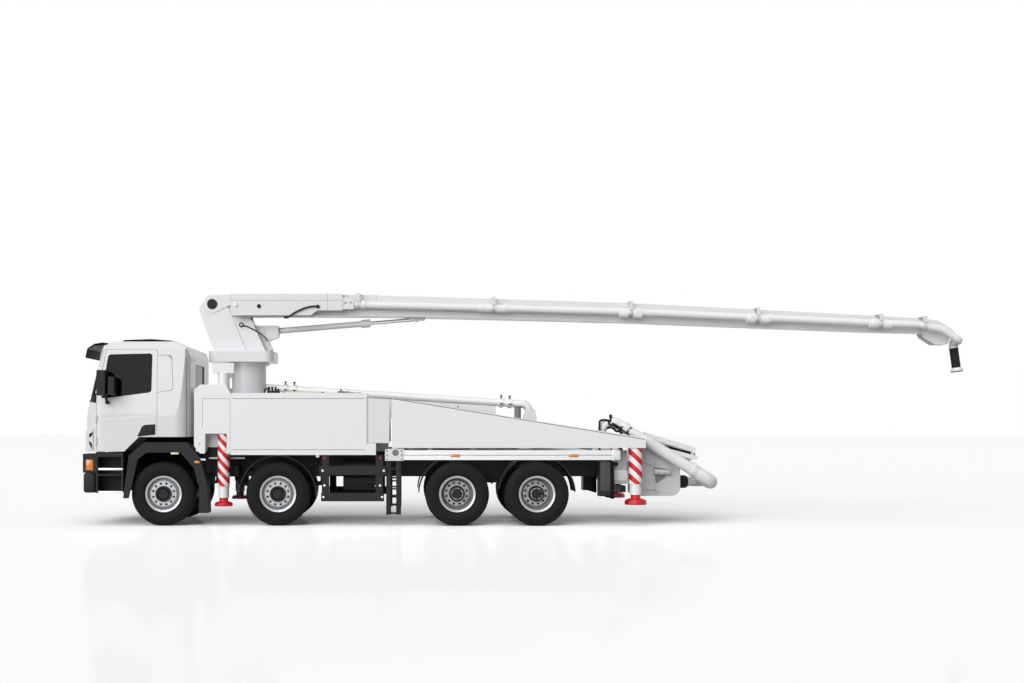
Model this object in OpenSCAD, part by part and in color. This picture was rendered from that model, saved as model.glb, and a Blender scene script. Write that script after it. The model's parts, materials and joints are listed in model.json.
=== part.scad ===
// Truck-mounted concrete pump with a placing boom, laid over the cab's rear and the deck.
// The truck faces -X, +Y is its right side and the ground is z = 0.
// Places along the truck are measured from the first axle, and at_axle1() moves them so that
// the origin is at the middle of the whole length.

/* [Layout] */
// Bumper's front face ahead of the first axle
front_overhang = 1440; // [1350:10:1550]
// First axle to second axle
axle2_x = 1940; // [1900:10:2000]
// First axle to third axle
axle3_x = 4980; // [4950:10:5050]
// First axle to fourth axle
axle4_x = 6330; // [6300:10:6400]
// Width of the cab and the bodywork
body_w = 2500; // [2480:10:2540]
// Gap kept between pieces that move past each other
run_gap = 5; // [5:1:8]
// Gap between a moving piece and the seat it rests on
seat_gap = 0.3; // [0.3:0.1:0.5]
// Gap around a pin or a shaft in its bore
pin_gap = 0.3; // [0.2:0.1:0.5]

/* [Wheels] */
// Outer radius of a tyre
tyre_r = 540; // [530:2:550]
// Width of a tyre
tyre_w = 305; // [295:5:315]
// Radius of the rim's flange
flange_r = 308; // [300:2:312]
// Radius of the rim's bead seat, where the tyre sits
bead_r = 286; // [280:2:290]
// Middle of a front tyre inside the bodywork's side
front_track_in = 218; // [210:1:225]
// Middle of the twin wheels inside the bodywork's side
twin_track_in = 336; // [332:1:340]
// Middle of each twin tyre from the middle of the pair
twin_half = 172; // [168:1:176]
// Radius of the bore in a wheel's hub
hub_bore_r = 60; // [55:1:65]
// Radius of the hub's outside
hub_r = 134; // [128:2:138]
// Kingpin inside the middle of its tyre
kingpin_in = 152; // [142:1:157]
// Radius of the kingpin
kingpin_r = 25; // [22:1:28]

/* [Frame] */
// Top of the frame rails
rail_top = 1080; // [1060:5:1100]
// Height of the frame rails
rail_h = 270; // [250:5:290]
// Width of a rail's flanges
rail_flange = 80; // [70:5:90]
// Thickness of a rail's web and flanges
rail_t = 9; // [8:1:12]
// Outside width across the rails
frame_w = 860; // [840:5:870]
// Rear end of the rails
frame_end_x = 7880; // [7850:10:7900]
// Height of the subframe on the rails
subframe_h = 170; // [150:5:180]

/* [Cab] */
// Cab's front face ahead of the first axle
cab_front = 1345; // [1330:5:1360]
// Cab's rear wall behind the first axle
cab_rear = 440; // [430:5:450]
// Cab roof's height
cab_top = 3130; // [3110:5:3150]
// Cab sill's height
cab_sill = 1262; // [1255:1:1270]
// Cab's lower edge over the wheel
cab_arch = 1507; // [1500:1:1515]
// Thickness of the cab's walls and doors
cab_wall = 62; // [55:1:70]
// Front seam of the doors ahead of the first axle
door_front = 1117; // [1110:1:1125]
// Rear seam of the doors ahead of the first axle
door_rear = 98; // [90:1:105]
// Thickness of the window glass
glass_t = 6; // [5:1:8]

/* [Boom] */
// Slewing axis behind the first axle
slew_x = 1316; // [1300:2:1330]
// Underside of the slewing plate
plate_z = 2815; // [2810:5:2830]
// Thickness of the slewing plate
plate_t = 185; // [170:5:200]
// Boom pivot behind the first axle
boom_pivot_x = 700; // [690:5:710]
// Boom pivot's height
boom_pivot_z = 3838; // [3830:2:3850]
// Radius of the boom's pivot pin
boom_pin_r = 60; // [55:1:65]
// Width of the boom's root box
root_w = 440; // [420:5:450]
// Width of the boom's beam at its tip
tip_w = 250; // [240:5:260]
// Radius of the concrete pipe
pipe_r = 66; // [60:1:70]
// Radius of the lift cylinder's barrel
barrel_r = 52; // [48:1:58]
// Radius of the lift cylinder's rod
rod_r = 32; // [28:1:36]
// Length of the end hose from its swivel
end_hose_l = 542; // [500:2:580]

/* [Outriggers] */
// Front outriggers behind the first axle
front_leg_x = 1018; // [1010:2:1026]
// Radius of the front jack's tube
front_jack_r = 101; // [96:1:104]
// Middle of the jacks inside the bodywork's side
jack_in = 128; // [125:1:135]
// Pivot of the rear outriggers behind the first axle
arm_pivot_x = 3935; // [3930:1:3940]
// Pivot of the rear outriggers inside the bodywork's side
arm_pivot_in = 70; // [65:1:75]
// Rear jacks behind the first axle
rear_leg_x = 8012; // [8000:2:8024]
// Radius of the rear jack's tube
rear_jack_r = 115; // [110:1:118]

/* [Hidden] */
// Wheels: name, place along the truck, side, twin
WHEELS = [
    for (row = [["1", 0, false], ["2", axle2_x, false], ["3", axle3_x, true], ["4", axle4_x, true]])
        for (side = [["left", -1], ["right", 1]])
            [str(row[0], "_", side[0]), row[1], side[1], row[2]]
];
SIDES = [["left", -1], ["right", 1]];

$fn = 48;

// Overall reach, which puts the origin at the middle
end_pivot_x = 13860;
end_pivot_z = 3190;
end_lean = 8;
end_flange_r = 105;
rear_reach = end_pivot_x + end_hose_l * sin(end_lean) + end_flange_r * cos(end_lean);
mid_x = (rear_reach - front_overhang) / 2;

module at_axle1() translate([-mid_x, 0, 0]) children();

// What is modelled on the right goes to the left as a mirror image
module on_side(s) mirror([0, s < 0 ? 1 : 0, 0]) children();

module both_sides() {
    children();
    mirror([0, 1, 0]) children();
}

// A side view outline in (x, z), extruded from y0 to y1
module side_plate(y0, y1) translate([0, y1, 0]) rotate([90, 0, 0]) linear_extrude(y1 - y0) children();

// A plan outline in (x, y), extruded from z0 to z1
module plan_plate(z0, z1) translate([0, 0, z0]) linear_extrude(z1 - z0) children();

// A front view outline in (y, z), extruded from x0 to x1
module front_plate(x0, x1) translate([x0, 0, 0]) rotate([90, 0, 90]) linear_extrude(x1 - x0) children();

// A block between two corners
module block(a, b) translate(a) cube(b - a);

// A round bar between two points in a plane of constant y
module bar(a, b, y, r) {
    d = b - a;
    translate([a[0], y, a[1]])
        rotate([0, 90 - atan2(d[1], d[0]), 0])
            cylinder(h = norm(d), r = r);
}

module rounded(size, r) {
    translate([0, r]) square([size[0], size[1] - 2 * r]);
    translate([r, 0]) square([size[0] - 2 * r, size[1]]);
    for (x = [r, size[0] - r], y = [r, size[1] - r]) translate([x, y]) circle(r);
}

// Chassis

rail_bottom = rail_top - rail_h;
frame_front_x = -1122.7;
subframe_top = rail_top + subframe_h;
// Cross members: place, depth along the truck, top
CROSS = [[-1060, 120, 1040], [620, 90, 1040], [2700, 90, 1040], [4080, 90, 1040], [5575, 160, 1040], [7250, 90, 980],
         [7780, 100, 900]];
body_y = body_w / 2;
front_track_y = body_y - front_track_in;
twin_track_y = body_y - twin_track_in;
kingpin_y = front_track_y - kingpin_in;
jack_y = body_y - jack_in;
arm_pivot_y = body_y - arm_pivot_in;

module rail_outline() difference() {
    translate([frame_w / 2 - rail_flange, rail_bottom]) square([rail_flange, rail_h]);
    translate([frame_w / 2 - rail_flange - 1, rail_bottom + rail_t])
        square([rail_flange - rail_t + 1, rail_h - 2 * rail_t]);
}

module chassis_frame() color("#1a1a1c") at_axle1() {
    both_sides() front_plate(frame_front_x, frame_end_x) rail_outline();
    for (c = CROSS)
        block([c[0], -frame_w / 2 + rail_t / 2, rail_bottom + 40],
              [c[0] + c[1], frame_w / 2 - rail_t / 2, c[2]]);
    // subframe beams on the rails
    both_sides() front_plate(560, frame_end_x) difference() {
        translate([frame_w / 2 - rail_flange, rail_top]) square([rail_flange, subframe_h]);
        translate([frame_w / 2 - rail_flange + 10, rail_top + 10])
            square([rail_flange - 20, subframe_h - 20]);
    }
    // rear under-run bar on two hangers
    block([frame_end_x - 110, -underrun_y, underrun_z], [frame_end_x - 10, underrun_y, underrun_z + 110]);
    both_sides()
        block([frame_end_x - 110, 300, underrun_z + 110 - 1],
              [frame_end_x - 40, 380, rail_bottom + 1]);
    both_sides() {
        // hangers of the rear lamp boards
        block([frame_end_x - 236, frame_w / 2 - 1, 1010], [frame_end_x - 150, body_y - 240, 1070]);
        // cab's front brackets, with the bores of its tilt pins
        difference() {
            block([tilt_x - tilt_boss_r, tilt_bracket_y[0], tilt_z - tilt_boss_r],
                  [frame_front_x + 1, tilt_bracket_y[1], tilt_z + tilt_boss_r]);
            translate([tilt_x, 0, tilt_z]) rotate([-90, 0, 0]) cylinder(h = body_y, r = tilt_pin_r + pin_gap);
        }
        // cab's rear rest
        block([cab_rest_x[0], frame_w / 2 - rail_flange, rail_top - 1],
              [cab_rest_x[1], frame_w / 2, cab_arch - seat_gap]);
    }
    block([cab_rest_x[0], -frame_w / 2, cab_arch - seat_gap - 60], [cab_rest_x[1], frame_w / 2, cab_arch - seat_gap]);
}
tilt_x = -1260;
tilt_z = 950;
tilt_pin_r = 25;
tilt_boss_r = 42;
tilt_bracket_y = [380, 425];
cab_rest_x = [360, 430];
underrun_y = body_y - 270;
underrun_z = 560;

engine_x = [-900, 330];
engine_z = [560, 1400];
engine_mounts = [-700, 200];
module engine_block() color("#2b2b2e") at_axle1() {
    block([engine_x[0], -frame_w / 2 + rail_flange + 5, engine_z[0]],
          [engine_x[1], frame_w / 2 - rail_flange - 5, engine_z[1]]);
    // mounts against the rails' webs
    for (x = engine_mounts) both_sides()
        block([x, frame_w / 2 - rail_flange - 6, 900], [x + 80, frame_w / 2 - rail_t - seat_gap, 960]);
}

// Bumper, lamp housings and entry steps
bumper_z = [549, 904];
step_x = [-1123, -670];
step_y = [body_y - 350, body_y - 15];
STEP_TREADS = [595, 880];
lamp_y = [body_y - 490, body_y - 25];
bumper_bow_r = 2000;
bumper_corner_r = 160;
module bumper_plan() intersection() {
    translate([-front_overhang + bumper_bow_r, 0]) circle(bumper_bow_r, $fn = 96);
    translate([-front_overhang, -body_y]) square([front_overhang - door_front - 6, body_w]);
    union() {
        translate([-front_overhang, -body_y + bumper_corner_r]) square([1000, body_w - 2 * bumper_corner_r]);
        for (s = [-1, 1]) translate([-front_overhang + 260, s * (body_y - bumper_corner_r)]) circle(bumper_corner_r);
        translate([-front_overhang + 260, -body_y]) square([800, body_w]);
    }
}
module front_bumper() color("#26262a") at_axle1() {
    difference() {
        plan_plate(bumper_z[0], bumper_z[1]) bumper_plan();
        // hollow behind the face, open to the rear
        block([-front_overhang + 330, 120 - body_y, bumper_z[0] - 1], [0, body_y - 120, bumper_z[1] - 40]);
        // recess between the upper and lower lips
        block([-front_overhang - 1, -620, 690], [-front_overhang + 60, 620, 800]);
    }
    both_sides() {
        // lamp housing above each bumper end
        difference() {
            block([-1352, lamp_y[0], bumper_z[1] - 1], [-1130, lamp_y[1], 1222]);
            block([-1353, lamp_y[0] + 30, 948], [-1325, lamp_y[1] - 30, 1200]);
        }
        // lamp glass set in the housing
        block([-1325 - 1, lamp_y[0] + 40, 958], [-1318, lamp_y[0] + 300, 1190]);
        translate([-1335, lamp_y[0] + 170, 1074]) rotate([0, 90, 0]) cylinder(h = 40, r = 95);
        block([-1340, lamp_y[1] - 140, 968], [-1318, lamp_y[1] - 40, 1180]);
        // entry step box with its treads
        difference() {
            block([step_x[0] - 8, step_y[0], STEP_TREADS[0] - 30], [step_x[1], step_y[1], 1245]);
            block([step_x[0] + 22, step_y[0] + 40, STEP_TREADS[0]], [step_x[1] - 30, body_y, STEP_TREADS[1] - 30]);
            block([step_x[0] + 22, step_y[0] + 40, STEP_TREADS[1]], [step_x[1] - 30, body_y, 1170]);
        }
        // brackets to the frame
        block([-1120, frame_w / 2 + seat_gap, 830], [-1030, step_y[0] + 1, 1000]);
    }
}

// Mudguards
guard_w = 380;
twin_guard_w = 666;
guard_t = 14;
guard_r = 655;
stay_r = 20;
module arch_outline(x, r, t, from, to) translate([x, tyre_r]) difference() {
    circle(r, $fn = 96);
    circle(r - t, $fn = 96);
    polygon(concat([[0, 0]],
        [for (a = [to : (360 + from - to) / 6 : 360 + from]) 2 * r * [cos(a), sin(a)]]));
}
// First axle's arch: outer line and inner line, both (x, z)
ARCH_OUT = [[-668, 470], [-573, 1191], [-316, 1417], [392, 1417], [633, 1145], [752, 696], [768, 220]];
ARCH_IN = [[612, 220], [617, 662], [529, 980], [302, 1243], [-272, 1243], [-422, 1130], [-573, 470]];
module arch_face() polygon(concat(ARCH_OUT, ARCH_IN));
module arch_liner() difference() {
    polygon(ARCH_OUT);
    inner = [for (p = ARCH_OUT) [p[0] * (1 - guard_t / 650), p[1] - guard_t]];
    last = len(inner) - 1;
    polygon(concat([[inner[0][0], 0]], inner, [[inner[last][0], 0]]));
}
// Arcs round the other wheels: place, inner face from the centreline, start angle, end angle
ARCS = [[axle2_x, body_y - guard_w, -5, 185], [axle3_x, body_y - twin_guard_w, 120, 178],
        [axle4_x, body_y - twin_guard_w, 122, 172], [axle4_x, body_y - twin_guard_w, 4, 60]];
// Round stays to the frame: place, height
STAYS = [[-630, 850], [718, 860],
    for (a = [[axle2_x, 38], [axle2_x, 90], [axle2_x, 142], [axle3_x, 145], [axle4_x, 147], [axle4_x, 35]])
        [a[0] + (guard_r - 7) * cos(a[1]), tyre_r + (guard_r - 7) * sin(a[1])]];
module mudguards() color("#3c3c3e") at_axle1() both_sides() {
    side_plate(body_y - 22, body_y - 2) arch_face();
    side_plate(body_y - guard_w, body_y - 21) arch_liner();
    for (a = ARCS) side_plate(a[1], body_y - 15) arch_outline(a[0], guard_r, guard_t, a[2], a[3]);
    for (p = STAYS) translate([p[0], frame_w / 2, p[1]]) rotate([-90, 0, 0])
        cylinder(h = body_y - guard_w - frame_w / 2 + 30, r = stay_r);
}

// Axles and springs
steer_beam_z = 470;
steer_eye_z = [478, 602];
beam_rise = 18;
// Leaf springs of the steered axles: length, sag, thickness
LEAF = [1500, 90, 55];
spring_seat_z = 580;
bogie_x = (axle3_x + axle4_x) / 2;
bogie_half = (axle4_x - axle3_x) / 2;
module leaf(l, sag, t) intersection() {
    r = (l * l / 4 + sag * sag) / (2 * sag);
    translate([0, r - sag]) difference() {
        circle(r + t, $fn = 180);
        circle(r, $fn = 180);
    }
    translate([-l / 2, -sag - t - 1]) square([l, sag + t + 60]);
}
module axles() color("#242427") at_axle1() {
    // dropped steering axle beams with an eye for each kingpin
    for (x = [0, axle2_x]) {
        difference() {
            union() {
                block([x - 50, -620, steer_beam_z - 60], [x + 50, 620, steer_beam_z + 60]);
                both_sides() translate([x, 600, steer_beam_z - 60]) rotate([beam_rise, 0, 0])
                    block([-50, 0, 0], [50, kingpin_y - 600, 100]);
                both_sides() translate([x, kingpin_y, steer_eye_z[0]])
                    cylinder(h = steer_eye_z[1] - steer_eye_z[0], r = 58);
                // spring seats
                both_sides() block([x - 110, 350, steer_beam_z + 59], [x + 110, 430, spring_seat_z + 1]);
            }
            both_sides() translate([x, kingpin_y, 0]) cylinder(h = 1000, r = kingpin_r + pin_gap);
        }
        both_sides() {
            side_plate(355, 425) translate([x, spring_seat_z + LEAF[1] + LEAF[2]]) leaf(LEAF[0], LEAF[1], LEAF[2]);
            // hangers at the spring's ends
            for (e = [-1, 1]) translate([x + e * (LEAF[0] / 2 - 30), 0, 0])
                block([-45, 350, spring_seat_z + LEAF[1] + 10], [45, 430, rail_bottom]);
        }
    }
    // driven axle housings with their stubs
    for (x = [axle3_x, axle4_x]) {
        translate([x, -560, tyre_r]) rotate([-90, 0, 0]) cylinder(h = 1120, r = 85);
        translate([x, 0, tyre_r]) sphere(235);
        translate([x, 0, tyre_r]) rotate([0, 90, 0]) cylinder(h = 330, r = 90);
        both_sides() translate([x, 0, tyre_r]) rotate([-90, 0, 0])
            cylinder(h = twin_track_y + 190, r = hub_bore_r - pin_gap);
        both_sides() block([x - 70, 350, tyre_r + 40], [x + 70, 430, tyre_r + 110]);
    }
    // bogie springs under their trunnion
    both_sides() {
        side_plate(355, 425) translate([bogie_x, tyre_r + 110]) mirror([0, 1]) translate([0, 5])
            leaf(2 * bogie_half + 100, 70, 90);
        block([bogie_x - 120, 345, 700], [bogie_x + 120, 435, rail_bottom]);
    }
}

module knuckle(w) color("#2c2c30") at_axle1() translate([w[1], 0, 0]) on_side(w[2]) {
    // kingpin through the axle's eye
    translate([0, kingpin_y, steer_eye_z[0] - 40]) cylinder(h = steer_eye_z[1] - steer_eye_z[0] + 80, r = kingpin_r);
    // yoke above and below the eye
    for (z = [steer_eye_z[0] - 40, steer_eye_z[1] + seat_gap])
        translate([0, 0, z]) linear_extrude(40 - seat_gap) union() {
            translate([0, kingpin_y]) circle(52);
            translate([-52, kingpin_y]) square([104, 100]);
        }
    block([-62, kingpin_y + 66, steer_eye_z[0] - 40], [62, kingpin_y + 112, steer_eye_z[1] + 40]);
    // spindle
    translate([0, kingpin_y + 111, tyre_r]) rotate([-90, 0, 0])
        cylinder(h = front_track_y + 130 - kingpin_y - 111, r = hub_bore_r - pin_gap);
}

// Wheels
module tyre_outline() polygon([
    [bead_r + 0.3, -tyre_w * 0.36], [flange_r + 4, -tyre_w * 0.38], [tyre_r * 0.74, -tyre_w / 2],
    [tyre_r - 78, -tyre_w / 2 + 2], [tyre_r - 22, -tyre_w * 0.43], [tyre_r, -tyre_w * 0.36],
    [tyre_r, tyre_w * 0.36], [tyre_r - 22, tyre_w * 0.43], [tyre_r - 78, tyre_w / 2 - 2],
    [tyre_r * 0.74, tyre_w / 2], [flange_r + 4, tyre_w * 0.38], [bead_r + 0.3, tyre_w * 0.36]]);

module spun(y) translate([0, y, 0]) rotate([-90, 0, 0]) rotate_extrude() children();

module at_wheel(w) at_axle1() translate([w[1], 0, tyre_r]) on_side(w[2]) children();

module tyre(w) color("#2a2a2c") at_wheel(w)
    for (y = w[3] ? [twin_track_y - twin_half, twin_track_y + twin_half] : [front_track_y])
        spun(y) tyre_outline();

// Rim barrel in (r, y) with its flanges, the disc's face at disc_y
module rim_barrel() polygon([
    [bead_r, -tyre_w * 0.37], [flange_r, -tyre_w * 0.40], [flange_r, -tyre_w * 0.43], [bead_r - 12, -tyre_w * 0.40],
    [bead_r - 24, -40], [bead_r - 24, 40],
    [bead_r - 12, tyre_w * 0.40], [flange_r, tyre_w * 0.43], [flange_r, tyre_w * 0.40], [bead_r, tyre_w * 0.37],
    [bead_r, 60], [bead_r - 10, 40], [bead_r - 10, -40], [bead_r, -60]]);
module disc_outline(y, dish) polygon([
    [hub_r - 4, y], [215, y], [bead_r - 14, y - dish], [bead_r - 14, y - dish - 14],
    [205, y - 14], [hub_r - 4, y - 14]]);
module hub_outline(y0, y1) polygon([
    [hub_bore_r, y0], [hub_r, y0], [hub_r, y1 - 14], [hub_r - 14, y1], [0, y1], [0, y1 - 30], [hub_bore_r, y1 - 30]]);

module rim(w) color("#b9bcc0") at_wheel(w)
    if (w[3]) {
        spun(twin_track_y) {
            translate([0, -twin_half]) rim_barrel();
            translate([0, twin_half]) rim_barrel();
            disc_outline(14, -70);
            mirror([0, 1]) disc_outline(14, -70);
            hub_outline(-150, 225);
        }
    } else {
        spun(front_track_y) {
            rim_barrel();
            disc_outline(118, 60);
            hub_outline(-20, 165);
        }
    }

// Pipes and rods between points in space

function unit(v) = v / norm(v);

module placed(o, ex, ey) {
    ez = cross(ex, ey);
    multmatrix([[ex[0], ey[0], ez[0], o[0]], [ex[1], ey[1], ez[1], o[1]], [ex[2], ey[2], ez[2], o[2]], [0, 0, 0, 1]])
        children();
}

module rod3(a, b, r) {
    d = unit(b - a);
    side = unit(cross(abs(d[2]) > 0.9 ? [1, 0, 0] : [0, 0, 1], d));
    placed(a, side, cross(d, side)) cylinder(h = norm(b - a), r = r);
}

// Straight stretches joined by elbows a little thicker than the pipe; a slight bend is a coupling
elbow_t = 3;
elbow_lap = 8;
slight_bend = 9;
coupling_t = 16;
coupling_l = 80;
module pipe_path(p, r, bend) {
    last = len(p) - 1;
    dirs = [for (i = [0 : last - 1]) unit(p[i + 1] - p[i])];
    turns = [for (i = [0 : last]) i == 0 || i == last ? 0 : acos(dirs[i - 1] * dirs[i])];
    // how far each straight stretch stays from the corner
    cuts = [for (i = [0 : last]) i == 0 || i == last ? 0
            : turns[i] < slight_bend ? elbow_lap : bend * tan(turns[i] / 2) - elbow_lap];
    for (i = [0 : last - 1]) rod3(p[i] + dirs[i] * cuts[i], p[i + 1] - dirs[i] * cuts[i + 1], r);
    for (i = [1 : last - 1]) {
        u = dirs[i - 1];
        v = dirs[i];
        if (turns[i] < slight_bend)
            rod3(p[i] - unit(u + v) * coupling_l / 2, p[i] + unit(u + v) * coupling_l / 2, r + coupling_t);
        else {
            inward = unit(v - u * (u * v));
            placed(p[i] - u * (cuts[i] + elbow_lap) + inward * bend, -inward, u)
                rotate_extrude(angle = turns[i]) translate([bend, 0]) circle(r + elbow_t);
        }
    }
}

// A collar on the line from a to b, a share of the way along
module collar(a, b, share, r, l) {
    mid = a + (b - a) * share;
    rod3(mid - unit(b - a) * l / 2, mid + unit(b - a) * l / 2, r);
}

// Front support: cross box with the outriggers' tunnels, and the pedestal on it
support_x = [560, 1640];
support_z = [1330, 2250];
wing_bottom = 1262;
pocket_x = [725, 1149];
pocket_y = jack_y - 112;
panel_t = 60;
pedestal_r = 303;
pedestal_flange = [60, 50];
beam_w = 160;
beam_z = [1600, 1900];
beam_inner_y = pocket_y - 60;
// The two beams run side by side
function beam_x(s) = 897.5 + s * 87.5;
module front_support() color("#e3e4e6") at_axle1() {
    difference() {
        block([support_x[0], -pocket_y, support_z[0]], [support_x[1], pocket_y, support_z[1]]);
        for (s = [-1, 1]) on_side(s)
            block([beam_x(s) - beam_w / 2 - run_gap, -beam_inner_y - 20, beam_z[0] - seat_gap],
                  [beam_x(s) + beam_w / 2 + run_gap, pocket_y + 1, beam_z[1] + run_gap]);
    }
    block([support_x[0] + 40, -frame_w / 2, subframe_top], [support_x[1], frame_w / 2, support_z[0] + 1]);
    translate([slew_x, 0, support_z[1] - 1]) {
        cylinder(h = plate_z - seat_gap - support_z[1] + 1, r = pedestal_r, $fn = 96);
        translate([0, 0, plate_z - seat_gap - support_z[1] + 1 - pedestal_flange[1]])
            cylinder(h = pedestal_flange[1], r = pedestal_r + pedestal_flange[0], $fn = 96);
    }
}
// Boxes that widen the support before and behind the jack's pocket
module support_wings() color("#e3e4e6") at_axle1() both_sides() {
    block([support_x[0], pocket_y, wing_bottom], [pocket_x[0], cover_y - run_gap, support_z[1]]);
    block([pocket_x[1], pocket_y, wing_bottom], [support_x[1], body_y - panel_t, support_z[1]]);
}

// Front outriggers
cover_y = body_y - 20;
jack_z = [669, 2590];
jack_cap = [[836, jack_y - 92], [1200, jack_y + 93], 2760];
front_rod_r = 89;
// Foot, neck and rod from the ground up
front_foot_z = [333, 409, 476];
front_rod_top = 1776;
COVER = [[532, 2301], [633, 2392], [1073, 2392], [1140, 2250], [1140, 1228], [633, 1228], [532, 1355]];
COVER_CUT = [[718, 1216], [1084, 1564]];
module front_beam(s) color("#e6e7e9") at_axle1() on_side(s) {
    difference() {
        union() {
            block([beam_x(s) - beam_w / 2, -beam_inner_y, beam_z[0]], [beam_x(s) + beam_w / 2, jack_y, beam_z[1]]);
            block([beam_x(s) - beam_w / 2, pocket_y + run_gap, beam_z[0]],
                  [max(front_leg_x, beam_x(s) + beam_w / 2), jack_y, beam_z[1]]);
            translate([front_leg_x, jack_y, jack_z[0]]) cylinder(h = jack_z[1] - jack_z[0], r = front_jack_r);
        }
        translate([front_leg_x, jack_y, jack_z[0] - 1])
            cylinder(h = jack_z[1] - jack_z[0] - 200, r = front_rod_r + pin_gap);
    }
    block([jack_cap[0][0], jack_cap[0][1], jack_z[1] - 1], [jack_cap[1][0], jack_cap[1][1], jack_cap[2]]);
    difference() {
        side_plate(cover_y, body_y) polygon(COVER);
        block([COVER_CUT[0][0], cover_y - 1, COVER_CUT[0][1]], [COVER_CUT[1][0], body_y + 1, COVER_CUT[1][1]]);
    }
    // brackets that hold the cover on the jack
    for (z = [1720, 2180])
        block([front_leg_x - 38, jack_y + front_jack_r - 11, z], [front_leg_x + 38, cover_y + 1, z + 70]);
}

// Foot with a neck, as a half outline in (r, z) from the foot's underside
module foot(r, h) rotate_extrude() polygon([
    [0, 0], [r - 6, 0], [r, 8], [r, h * 0.52], [r - 12, h * 0.75], [r * 0.66, h], [0, h]]);

module front_leg(s) color("#eeeeee") at_axle1() on_side(s) translate([front_leg_x, jack_y, 0]) {
    translate([0, 0, front_foot_z[2]]) cylinder(h = front_rod_top - front_foot_z[2], r = front_rod_r);
    translate([0, 0, front_foot_z[1] - 1]) cylinder(h = front_foot_z[2] - front_foot_z[1] + 2, r = 73);
    translate([0, 0, front_foot_z[0]]) foot(152, front_foot_z[1] - front_foot_z[0]);
}

// Rear outriggers
arm_y = [body_y - 240, body_y];
arm_x = [3875, 8164];
arm_top = [2162, 1490];
arm_bottom = 1321;
hinge_pin_r = 45;
hinge_pin_h = 600;
rear_rod_r = 100;
rear_foot_z = [358, 459, 527];
rear_rod_top = 1427;
rear_jack_z = [713, 1480];
module rear_arm(s) color("#e6e7e9") at_axle1() on_side(s) difference() {
    union() {
        side_plate(arm_y[0], arm_y[1]) polygon([
            [arm_x[0], arm_top[0]], [arm_x[1], arm_top[1]], [arm_x[1], arm_bottom], [arm_x[0], arm_bottom]]);
        translate([rear_leg_x, jack_y, rear_jack_z[0]])
            cylinder(h = arm_bottom + 100 - rear_jack_z[0], r = rear_jack_r);
    }
    translate([rear_leg_x, jack_y, rear_jack_z[0] - 1])
        cylinder(h = rear_jack_z[1] - rear_jack_z[0], r = rear_rod_r + pin_gap);
    translate([arm_pivot_x, arm_pivot_y, arm_bottom - 1]) cylinder(h = hinge_pin_h + 6, r = hinge_pin_r + pin_gap);
}

module rear_leg(s) color("#eeeeee") at_axle1() on_side(s) translate([rear_leg_x, jack_y, 0]) {
    translate([0, 0, rear_foot_z[2]]) cylinder(h = rear_rod_top - rear_foot_z[2], r = rear_rod_r);
    translate([0, 0, rear_foot_z[1] - 1]) cylinder(h = rear_foot_z[2] - rear_foot_z[1] + 2, r = 82);
    translate([0, 0, rear_foot_z[0]]) foot(186, rear_foot_z[1] - rear_foot_z[0]);
}

// Deck: tank box, hinge boxes of the rear outriggers and the delivery line's support
deck_z = 2040;
deck_bottom = 1290;
hinge_box_x = [3454, 3830];
hinge_box_z = [1405, 2139];
hinge_box_y = body_y - 350;
bracket_x = [3758, 4073];
bracket_y = [body_y - 250, body_y - 15];
bracket_z = [1104, 1301];
// Delivery line over the deck: it leaves the pedestal and slopes down to its riser
riser = [6270, -380];
line_turn = atan2(riser[1], riser[0] - slew_x);
line_z = [2373, 2069];
line_start = pedestal_r + run_gap;
line_end = norm([riser[0] - slew_x, riser[1]]);
delivery_r = 80;
function line_at(d) = line_z[0] + (line_z[1] - line_z[0]) * (d - line_start) / (line_end - line_start);
module on_line() translate([slew_x, 0, 0]) rotate([0, 0, line_turn]) children();
module deck() color("#d9dadc") at_axle1() {
    block([support_x[1], -body_y + panel_t, deck_bottom], [hinge_box_x[0], body_y - panel_t, deck_z]);
    block([support_x[1] + 40, -frame_w / 2, subframe_top], [hinge_box_x[0] - 40, frame_w / 2, deck_bottom + 1]);
    // cross girder between the hinge boxes
    block([hinge_box_x[0] + 40, -hinge_box_y - 1, hinge_box_z[0]], [hinge_box_x[1] - 30, hinge_box_y + 1, 1720]);
    block([hinge_box_x[0] + 40, -frame_w / 2, subframe_top], [hinge_box_x[1] - 30, frame_w / 2, hinge_box_z[0] + 1]);
    both_sides() {
        block([hinge_box_x[0], hinge_box_y, hinge_box_z[0]], [hinge_box_x[1], body_y, hinge_box_z[1]]);
        // lower hinge bracket with its pin, on a cross beam
        block([bracket_x[0], bracket_y[0], bracket_z[0]], [bracket_x[1], bracket_y[1], bracket_z[1]]);
        block([bracket_x[0] + 42, frame_w / 2, bracket_z[0] + 6], [bracket_x[1] - 23, bracket_y[0] + 1, 1270]);
        translate([arm_pivot_x, arm_pivot_y, bracket_z[1] - 1]) {
            cylinder(h = arm_bottom - seat_gap - bracket_z[1] + 1, r = hinge_pin_r + 12);
            cylinder(h = arm_bottom - bracket_z[1] + hinge_pin_h, r = hinge_pin_r);
        }
    }
    // web under the delivery line, with two posts down to the subframe
    on_line() {
        side_plate(-35, 35) polygon([
            [900, deck_z - 1], [900, line_at(900) - pipe_r - seat_gap], [4390, line_at(4390) - pipe_r - seat_gap],
            [4390, 1830], [2180, 1830], [2180, deck_z - 1]]);
        for (d = [2850, 3950]) block([d, -35, 1159], [d + 90, 35, 1850]);
    }
    for (x = [4150, 5250]) block([x, -frame_w / 2 + rail_flange, 1110], [x + 130, frame_w / 2 - rail_flange, 1160]);
}

// Side panels in front of the tank, with the grooves of their doors
PANEL = [[1145, 1203], [3605, 1203], [3605, 1400], [3449, 1400], [3449, 2250], [1145, 2250]];
module side_panels() color("#e8e8ea") at_axle1() both_sides() difference() {
    side_plate(body_y - panel_t, body_y) polygon(PANEL);
    for (z = [1289, 2156]) block([1180, body_y - 4, z], [3420, body_y + 1, z + 4]);
}

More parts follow.
